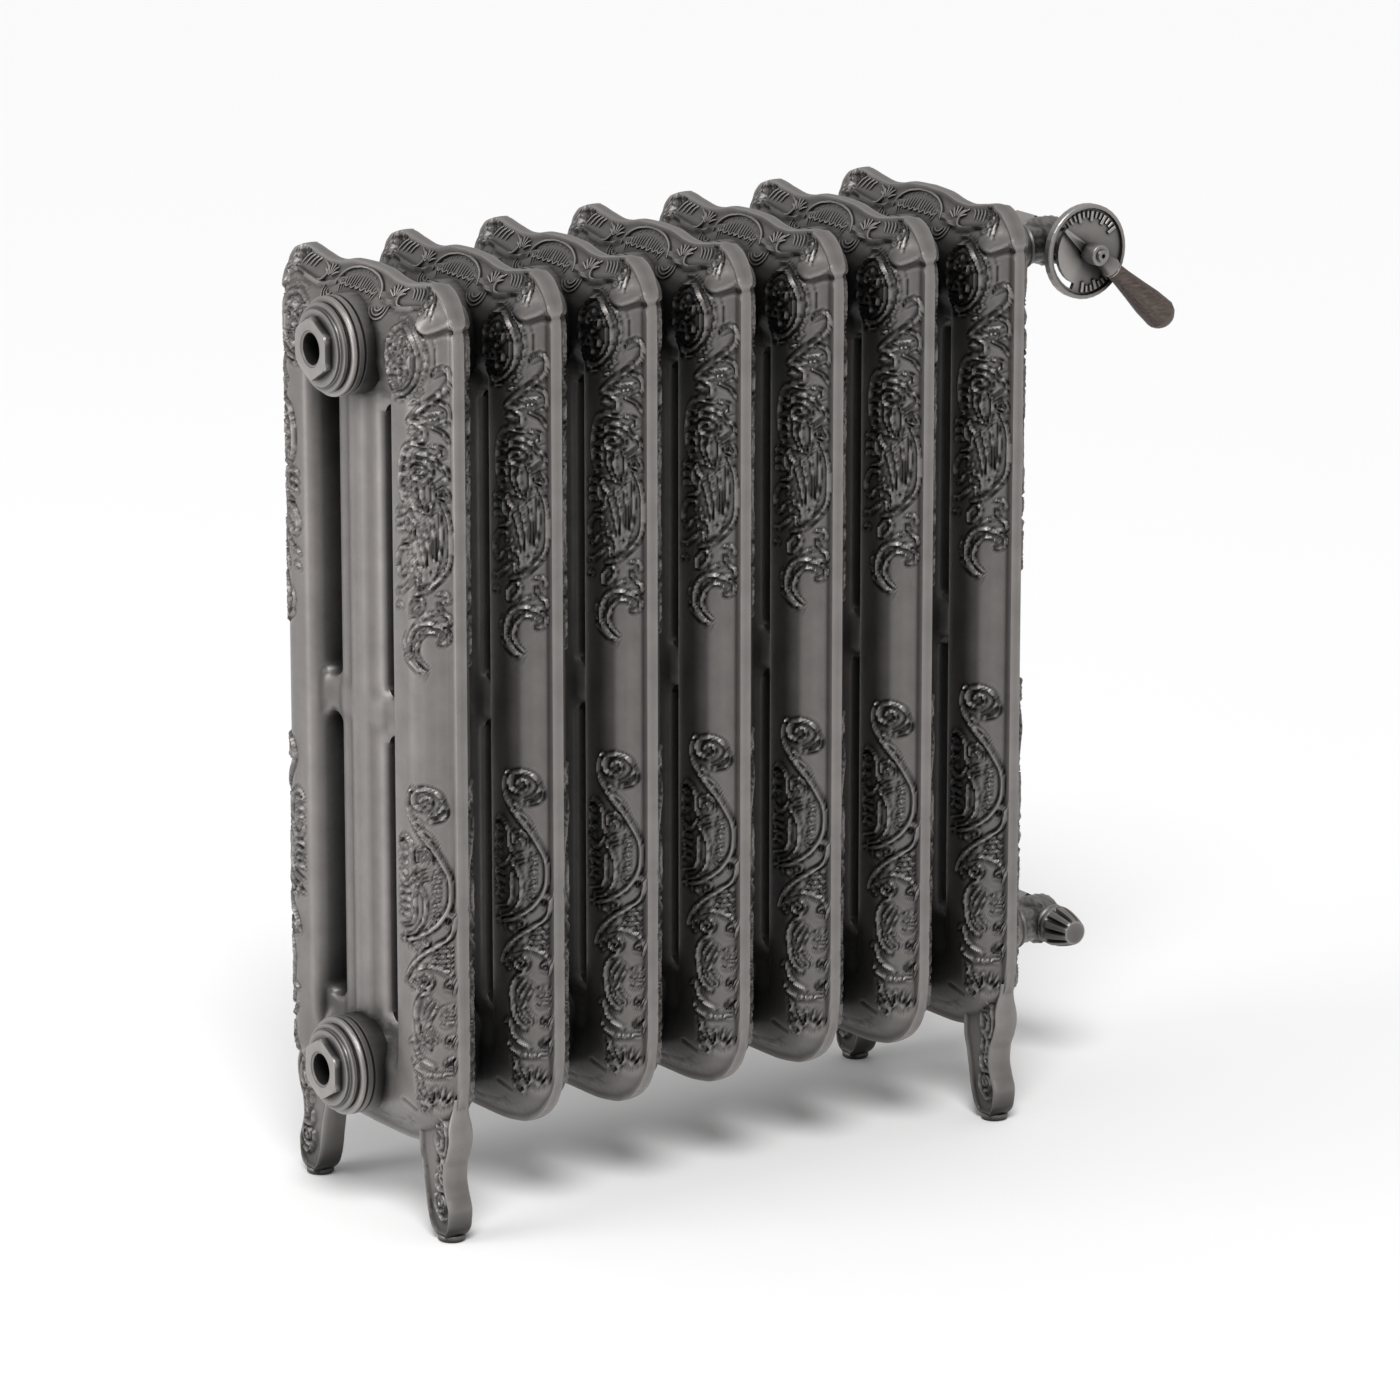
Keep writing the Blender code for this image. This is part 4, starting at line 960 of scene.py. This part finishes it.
def hexagon(angle, height, radius):
    """Change of radius that turns the bush's outer end into a hexagon."""
    if height < HEX_START or radius < 13:
        return 0.0
    corner = (angle % (math.pi / 3)) - math.pi / 6
    return min(HEX_RADIUS * math.cos(math.pi / 6) / math.cos(corner), radius) - radius


def cap_flutes(angle, height, radius):
    """Grooves along the side of the lockshield cap."""
    if not FLUTE_START < height < FLUTE_END or radius < 8.9:
        return 0.0
    share = (height - FLUTE_START) / (FLUTE_END - FLUTE_START)
    groove = max(0.0, math.cos(FLUTES * angle)) ** 0.7
    return -FLUTE_DEPTH * groove * math.sin(math.pi * min(1.0, 0.14 + 0.86 * share)) ** 0.45


def leaves(count, depth, start, end):
    """Relief of upright leaves round a barrel: a rib, veins and a pointed outline."""
    def swell(angle, height, radius):
        if not start < height < end:
            return 0.0
        share = (height - start) / (end - start)
        turn = (angle * count / (2 * math.pi)) % 1.0 - 0.5
        outline = 0.47 * math.sin(math.pi * min(1, share * 0.8 + 0.2)) ** 0.7
        inside = max(0.0, 1 - (abs(turn) / max(outline, 0.05)) ** 3)
        rib = math.exp(-(turn / 0.06) ** 2)
        veins = 0.5 + 0.5 * math.cos(2 * math.pi * (share * 3.2 - abs(turn) * 2.4))
        return depth * (inside * (0.45 + 0.4 * veins) + 0.35 * rib * inside) - 0.25 * depth
    return swell


def close_cap(outside, hollow):
    """Add the hollow inside of the cap and weld it to the outside."""
    inside = turned_mesh("hollow", hollow, 160, TOWARD_FRONT)
    shape = bmesh.new()
    shape.from_mesh(outside)
    shape.from_mesh(inside)
    bmesh.ops.remove_doubles(shape, verts=shape.verts, dist=0.00001)
    shape.to_mesh(outside)
    shape.free()
    return outward(outside)


def valve_body_mesh():
    """Angle valve body: a leafed barrel from front to back and a leafed port toward the row."""
    barrel = [(0.0, -23.9), (12.4, -23.9), (13.6, -22.8), (13.9, -20.6), (12.9, -19.4)]
    barrel += [(12.9 + 4.1 * math.sin(math.pi * (0.08 + 0.84 * k / 22)), -18.6 + 27.0 * k / 22)
               for k in range(23)]
    barrel += [(13.2, 9.6), (14.2, 10.6), (14.2, 12.6), (13.0, 13.6), (12.8, 14.4), (0.0, 14.4)]
    port = [(0.0, 4.0), (12.0, 4.0)]
    port += [(12.0 + 0.9 * math.sin(math.pi * k / 14), 12.0 + 19.0 * k / 14) for k in range(15)]
    port += [(13.2, 31.8), (13.2, 33.4), (12.4, 34.0), (0.0, 34.0)]
    body = turned_mesh("barrel", barrel, 96, TOWARD_FRONT, leaves(8, 1.5, -17.5, 7.8))
    arm = turned_mesh("port", port, 80, TOWARD_NEAR, leaves(6, 1.1, 13.0, 30.5))
    return unite("valve_body", body, [arm])


def bars_mesh(name, bars, low, high):
    """Raised bars on the dial: (angle in degrees, inner radius, outer radius, half width) each."""
    points, faces = [], []
    for angle, inner, outer, half in bars:
        turn = math.radians(angle)
        along_bar = (math.cos(turn), math.sin(turn))
        across = (-along_bar[1], along_bar[0])
        first = len(points)
        for level, shrink in ((low, 0.0), (high - 0.25, 0.0), (high, 0.22)):
            for radius, side in ((inner + shrink, -1), (outer - shrink, -1), (outer - shrink, 1),
                                 (inner + shrink, 1)):
                reach = side * (half - shrink)
                points.append((radius * along_bar[0] + reach * across[0], -level,
                               radius * along_bar[1] + reach * across[1]))
        for ring in (first, first + 4):
            for i in range(4):
                j = (i + 1) % 4
                faces.append((ring + i, ring + j, ring + 4 + j, ring + 4 + i))
        faces.append(tuple(first + i for i in (3, 2, 1, 0)))
        faces.append(tuple(first + 8 + i for i in range(4)))
    return outward(mesh_from(name, np.array(points), faces))


MARK_FOOT = 39.6
MARK_TOP = 41.4


def dial_marks_mesh():
    """Plain ticks beside the arc slot's two ends."""
    bars = []
    for start, count in ((31, 12), (262, 7)):
        for k in range(count):
            long_one = k % 3 == 0
            inner, half = (21.6, 1.15) if long_one else (24.2, 0.8)
            bars.append((start + 8.2 * k, inner, 29.0, half))
    return bars_mesh("dial_marks", bars, MARK_FOOT, MARK_TOP)


def prism_mesh(name, outline, low, high):
    """Flat block from (x, z) corners, between two distances to the front."""
    count = len(outline)
    points = [(x, -level, z) for level in (low, high) for x, z in outline]
    faces = [(i, (i + 1) % count, count + (i + 1) % count, count + i) for i in range(count)]
    faces += [tuple(range(count)), tuple(range(2 * count - 1, count - 1, -1))]
    return outward(mesh_from(name, np.array(points), faces))


def turned_outline(outline, angle):
    cosine, sine = math.cos(angle), math.sin(angle)
    return [(x * cosine - z * sine, x * sine + z * cosine) for x, z in outline]


def lever_mesh():
    """Boss on the spindle, swelling arm toward the grip, and the pointer with its tab."""
    boss = turned_mesh("boss", [
        (3.5, 58.0), (6.3, 58.0), (7.0, 57.7), (7.5, 57.0), (7.5, 47.0), (6.5, 43.0), (4.3, 43.0),
        (4.3, 44.3), (3.5, 44.3)], 64, TOWARD_FRONT, bore=True)
    arm = turned_mesh("arm", ARM_PROFILE, 48, LEVER_AXIS)
    opposite = LEVER_ANGLE + math.pi
    pointer = prism_mesh("pointer", turned_outline(
        [(6.0, -3.4), (27.6, -1.4), (27.6, 1.4), (6.0, 3.4)], opposite), 43.0, 44.0)
    tab = prism_mesh("tab", turned_outline(
        [(24.7, -1.2), (27.7, -1.2), (27.7, 1.2), (24.7, 1.2)], opposite), 39.1, 44.5)
    return unite("lever", boss, [arm, pointer, tab])


# Materials ------------------------------------------------------------------------------------
def new_material(name, colour, roughness, metallic):
    material = bpy.data.materials.new(name)
    material.use_nodes = True
    shader = material.node_tree.nodes["Principled BSDF"]
    shader.inputs["Base Color"].default_value = (*colour, 1)
    shader.inputs["Roughness"].default_value = roughness
    shader.inputs["Metallic"].default_value = metallic
    return material, material.node_tree, shader


def noise_node(tree, scale, detail=3.0, roughness=0.55):
    noise = tree.nodes.new("ShaderNodeTexNoise")
    noise.inputs["Scale"].default_value = scale
    noise.inputs["Detail"].default_value = detail
    noise.inputs["Roughness"].default_value = roughness
    place = tree.nodes.new("ShaderNodeTexCoord")
    tree.links.new(place.outputs["Object"], noise.inputs["Vector"])
    return noise


def ramp_node(tree, source, stops):
    ramp = tree.nodes.new("ShaderNodeValToRGB")
    tree.links.new(source, ramp.inputs["Fac"])
    elements = ramp.color_ramp.elements
    while len(elements) < len(stops):
        elements.new(0.5)
    for element, (place, colour) in zip(elements, stops):
        element.position = place
        element.color = (*colour, 1)
    return ramp


def multiply_node(tree, first, second):
    mix = tree.nodes.new("ShaderNodeMix")
    mix.data_type = "RGBA"
    mix.blend_type = "MULTIPLY"
    mix.inputs["Factor"].default_value = 1.0
    tree.links.new(first, mix.inputs["A"])
    tree.links.new(second, mix.inputs["B"])
    return mix.outputs["Result"]


def grey(value):
    return (value, value, value)


def tint(colour, factor):
    return tuple(c * factor for c in colour)


# Reach, in metres, of the ambient occlusion that paints shade into hollows and gaps.
PAINTED_SHADE_REACH = 0.055


def iron_material(name, colour, roughness, metallic, wear_and_highlight=1.0, grain=0.00012, grain_scale=850):
    """Satin metal paint on a casting: sand-cast grain, painted shade darkening hollows, creases and
    the gaps between parts, and convex rims lightened partly as rubbed-off paint, partly as painted
    highlight.
    """
    material, tree, shader = new_material(name, colour, roughness, metallic)
    links = tree.links
    geometry = tree.nodes.new("ShaderNodeNewGeometry")
    # Painted shade and highlight from pointiness: concave hollows darkened, convex rims lightened,
    # partly as rubbed-off paint.
    shade_wear_and_highlight = ramp_node(tree, geometry.outputs["Pointiness"], [
        (0.40, tint(colour, 0.10)), (0.485, tint(colour, 0.62)), (0.515, colour),
        (0.62, tint(colour, 1 + 0.9 * wear_and_highlight))])
    cloud = noise_node(tree, 42, 4)
    shade = ramp_node(tree, cloud.outputs["Fac"], [(0.3, grey(0.86)), (0.7, grey(1.08))])
    # Painted shade: ambient occlusion darkens hollows, slots and the gaps between sections into the
    # paint colour.
    occlusion = tree.nodes.new("ShaderNodeAmbientOcclusion")
    occlusion.samples = 8
    occlusion.inputs["Distance"].default_value = PAINTED_SHADE_REACH
    painted_crevice_shade = ramp_node(tree, occlusion.outputs["AO"], [
        (0.14, grey(0.015)), (0.45, grey(0.11)), (0.72, grey(0.64)), (0.93, grey(1.0))])
    first = multiply_node(tree, shade_wear_and_highlight.outputs["Color"], shade.outputs["Color"])
    second = multiply_node(tree, first, painted_crevice_shade.outputs["Color"])
    links.new(second, shader.inputs["Base Color"])
    rough = ramp_node(tree, noise_node(tree, 260, 3).outputs["Fac"], [
        (0.25, grey(roughness - 0.07)), (0.75, grey(roughness + 0.08))])
    links.new(rough.outputs["Color"], shader.inputs["Roughness"])
    bump = tree.nodes.new("ShaderNodeBump")
    bump.inputs["Strength"].default_value = 0.55
    bump.inputs["Distance"].default_value = grain
    links.new(noise_node(tree, grain_scale, 3, 0.6).outputs["Fac"], bump.inputs["Height"])
    links.new(bump.outputs["Normal"], shader.inputs["Normal"])
    return material


def wood_material(name, dark, light):
    """Dark oiled wood with long grain streaks."""
    material, tree, shader = new_material(name, dark, 0.5, 0.0)
    links = tree.links
    place = tree.nodes.new("ShaderNodeTexCoord")
    turn = tree.nodes.new("ShaderNodeMapping")
    turn.inputs["Rotation"].default_value = (0, LEVER_ANGLE, 0)
    turn.inputs["Scale"].default_value = (0.09, 1.0, 1.0)
    links.new(place.outputs["Object"], turn.inputs["Vector"])
    streaks = tree.nodes.new("ShaderNodeTexNoise")
    streaks.inputs["Scale"].default_value = 900
    streaks.inputs["Detail"].default_value = 6
    links.new(turn.outputs["Vector"], streaks.inputs["Vector"])
    colour = ramp_node(tree, streaks.outputs["Fac"], [(0.32, dark), (0.68, light)])
    links.new(colour.outputs["Color"], shader.inputs["Base Color"])
    rough = ramp_node(tree, streaks.outputs["Fac"], [(0.3, grey(0.42)), (0.7, grey(0.58))])
    links.new(rough.outputs["Color"], shader.inputs["Roughness"])
    bump = tree.nodes.new("ShaderNodeBump")
    bump.inputs["Strength"].default_value = 0.3
    bump.inputs["Distance"].default_value = 0.0001
    links.new(streaks.outputs["Fac"], bump.inputs["Height"])
    links.new(bump.outputs["Normal"], shader.inputs["Normal"])
    return material


iron = iron_material("cast_iron_paint", (0.205, 0.191, 0.184), 0.40, 0.55)
bush_paint = iron_material("bush_iron", (0.215, 0.202, 0.195), 0.36, 0.55, 0.5, 0.00005)
valve_paint = iron_material("valve_brass_dark", (0.225, 0.212, 0.204), 0.38, 0.6, 0.8, 0.00004)
bare_iron = iron_material("nipple_iron", (0.24, 0.23, 0.22), 0.5, 0.8, 0.3, 0.00006)
fibre = iron_material("gasket_fibre", (0.045, 0.040, 0.038), 0.85, 0.0, 0.3, 0.00008)
brass = iron_material("bare_brass", (0.36, 0.335, 0.30), 0.34, 0.9, 0.3, 0.00002)
rubber = iron_material("seal_rubber", (0.03, 0.03, 0.03), 0.8, 0.0, 0.2, 0.00003)
steel = iron_material("screw_steel", (0.22, 0.21, 0.20), 0.32, 0.9, 0.4, 0.00002)
wood = wood_material("grip_wood", (0.030, 0.021, 0.018), (0.105, 0.075, 0.062))
FINISHES = {
    "cast_iron_paint": iron, "bush_iron": bush_paint, "nipple_iron": bare_iron,
    "gasket_fibre": fibre, "valve_brass_dark": valve_paint, "bare_brass": brass,
    "seal_rubber": rubber, "grip_wood": wood, "screw_steel": steel}
SLOT_OF = {row["node"]: row["material_slot"] for row in frame["record"]["subparts"]}


def dress(obj, slot):
    obj.data.materials.clear()
    obj.data.materials.append(FINISHES[slot])


for name, node in frame["nodes"].items():
    dress(node, SLOT_OF[name])


def add_piece(name, mesh, body, nodes, slot, location=(0, 0, 0)):
    """A visible piece that stands for CAD nodes and rides on their body."""
    mesh.materials.clear()
    mesh.materials.append(FINISHES[slot])
    obj = bpy.data.objects.new(name, mesh)
    bpy.context.scene.collection.objects.link(obj)
    obj.location = location
    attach(obj, body)
    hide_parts(*nodes)
    return obj


def build_sections():
    plain = section_mesh()
    legged = legged_mesh(plain)
    for mesh in (plain, legged):
        add_ridges(mesh, crest_ridges())
        mesh.set_sharp_from_angle(angle=math.radians(58))
    for i, x in enumerate(SECTION_X):
        mesh = legged if i in (0, SECTIONS - 1) else plain
        add_piece(f"cast_section_{i + 1}", mesh, "radiator", [f"section_{i + 1}"],
                  "cast_iron_paint", (x, 0, 0))


def build_bushes():
    for row, level in (("top", UPPER_HUB), ("bottom", LOWER_HUB)):
        for end, turn in (("near", TOWARD_NEAR), ("far", TOWARD_FAR)):
            node = f"bush_{end}_{row}"
            node_low, node_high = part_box(node)
            face = node_low.x if end == "near" else node_high.x
            foot = face + BUSH_TOP * MM if end == "near" else face - BUSH_TOP * MM
            mesh = turned_mesh(node, BUSH_PROFILE, 96, turn, hexagon, bore=True)
            mesh.set_sharp_from_angle(angle=math.radians(30))
            add_piece(f"hex_{node}", mesh, "radiator", [node], "bush_iron", (foot, 0, level * MM))


def build_valves():
    for valve, level in (("throttle", UPPER_HUB), ("lockshield", LOWER_HUB)):
        place = (VALVE_X, 0, level * MM)
        body = valve_body_mesh()
        body.set_sharp_from_angle(angle=math.radians(40))
        add_piece(f"leafed_{valve}_body", body, "radiator", [f"{valve}_body"], "valve_brass_dark",
                  place)
        nut = f"{valve}_union_nut"
        nut_low, nut_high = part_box(nut)
        stretch = (nut_high.x - nut_low.x) / MM / UNION_PROFILE[-1][1]
        profile = [(radius, height * stretch) for radius, height in UNION_PROFILE]
        relief_of = leaves(8, 1.0, 4.6 * stretch, 11.4 * stretch)
        mesh = turned_mesh(nut, profile, 96, TOWARD_FAR, relief_of, bore=True)
        mesh.set_sharp_from_angle(angle=math.radians(40))
        add_piece(f"leafed_{nut}", mesh, "radiator", [nut], "valve_brass_dark",
                  (nut_low.x, 0, level * MM))
    cap = turned_mesh("cap", CAP_PROFILE, 160, TOWARD_FRONT, cap_flutes)
    hollow = [(11.7, 15.2), (11.7, 23.2), (4.8, 23.6), (4.8, 30.2), (0.0, 30.2)]
    cap = close_cap(cap, hollow)
    cap.set_sharp_from_angle(angle=math.radians(48))
    add_piece("fluted_cap", cap, "lockshield_cap_body", ["lockshield_cap"], "valve_brass_dark",
              (VALVE_X, 0, LOWER_HUB * MM))
    marks = dial_marks_mesh()
    marks.set_sharp_from_angle(angle=math.radians(30))
    place = (VALVE_X, 0, UPPER_HUB * MM)
    add_piece("dial_marks", marks, "radiator", [], "valve_brass_dark", place)
    lever = lever_mesh()
    lever.set_sharp_from_angle(angle=math.radians(40))
    add_piece("swelling_lever_arm", lever, "throttle_lever", ["lever_arm"], "valve_brass_dark",
              place)
    ferrule = turned_mesh("ferrule", FERRULE_PROFILE, 48, LEVER_AXIS)
    ferrule.set_sharp_from_angle(angle=math.radians(50))
    add_piece("thin_ferrule", ferrule, "throttle_lever", ["lever_ferrule"], "bare_brass", place)


build_sections()
build_bushes()
build_valves()


# Camera, floor and light ----------------------------------------------------------------------
WORLD_LIGHT = 0.50
KEY_POWER = 2.3
KEY_DIRECTION = (0.42, 0.62, -0.95)
KEY_ANGLE = math.radians(24)
SIDE_POWER = 26
SIDE_PLACE = (-2.4, 0.4, 0.9)
SIDE_TARGET = (-0.2, 0, 0.35)
SIDE_SIZE = 1.2
FLOOR_HALF = 6.0
FLOOR_DROP = 0.0004
CAMERA_PLACE = (-2.81713, -4.08853, 1.68126)
CAMERA_TARGET = (-0.02760, 0.0, 0.31804)
CAMERA_LENS = 190.44


def build_stage():
    floor_mesh = bpy.data.meshes.new("floor")
    corners = [(FLOOR_HALF * x, FLOOR_HALF * y, 0) for x, y in ((-1, -1), (1, -1), (1, 1), (-1, 1))]
    floor_mesh.from_pydata(corners, [], [(0, 1, 2, 3)])
    floor = bpy.data.objects.new("floor", floor_mesh)
    floor.location = (0, 0, -FLOOR_DROP)
    bpy.context.scene.collection.objects.link(floor)
    material, _, _ = new_material("floor", (0.9, 0.9, 0.9), 0.9, 0.0)
    floor_mesh.materials.append(material)


def area_light(name, place, target, size, power):
    data = bpy.data.lights.new(name, "AREA")
    data.shape = "SQUARE"
    data.size = size
    data.energy = power
    light = bpy.data.objects.new(name, data)
    light.location = place
    light.rotation_euler = (Vector(target) - Vector(place)).to_track_quat("-Z", "Y").to_euler()
    bpy.context.scene.collection.objects.link(light)


def build_light():
    world = bpy.data.worlds.new("studio")
    world.use_nodes = True
    tree = world.node_tree
    background = tree.nodes["Background"]
    background.inputs["Color"].default_value = (1, 1, 1, 1)
    background.inputs["Strength"].default_value = WORLD_LIGHT
    bright = tree.nodes.new("ShaderNodeBackground")
    bright.inputs["Strength"].default_value = 1.0
    seen = tree.nodes.new("ShaderNodeLightPath")
    mix = tree.nodes.new("ShaderNodeMixShader")
    tree.links.new(seen.outputs["Is Camera Ray"], mix.inputs["Fac"])
    tree.links.new(background.outputs["Background"], mix.inputs[1])
    tree.links.new(bright.outputs["Background"], mix.inputs[2])
    tree.links.new(mix.outputs["Shader"], tree.nodes["World Output"].inputs["Surface"])
    bpy.context.scene.world = world
    key = bpy.data.lights.new("key", "SUN")
    key.energy = KEY_POWER
    key.angle = KEY_ANGLE
    sun = bpy.data.objects.new("key", key)
    sun.rotation_euler = Vector(KEY_DIRECTION).to_track_quat("-Z", "Y").to_euler()
    bpy.context.scene.collection.objects.link(sun)
    area_light("side", SIDE_PLACE, SIDE_TARGET, SIDE_SIZE, SIDE_POWER)
    bpy.context.scene.view_settings.view_transform = "Standard"


def build_camera():
    data = bpy.data.cameras.new("camera")
    data.sensor_width = 36
    data.lens = CAMERA_LENS
    camera = bpy.data.objects.new("camera", data)
    camera.location = CAMERA_PLACE
    aim = Vector(CAMERA_TARGET) - camera.location
    camera.rotation_euler = aim.to_track_quat("-Z", "Y").to_euler()
    bpy.context.scene.collection.objects.link(camera)
    bpy.context.scene.camera = camera


build_stage()
build_light()
build_camera()
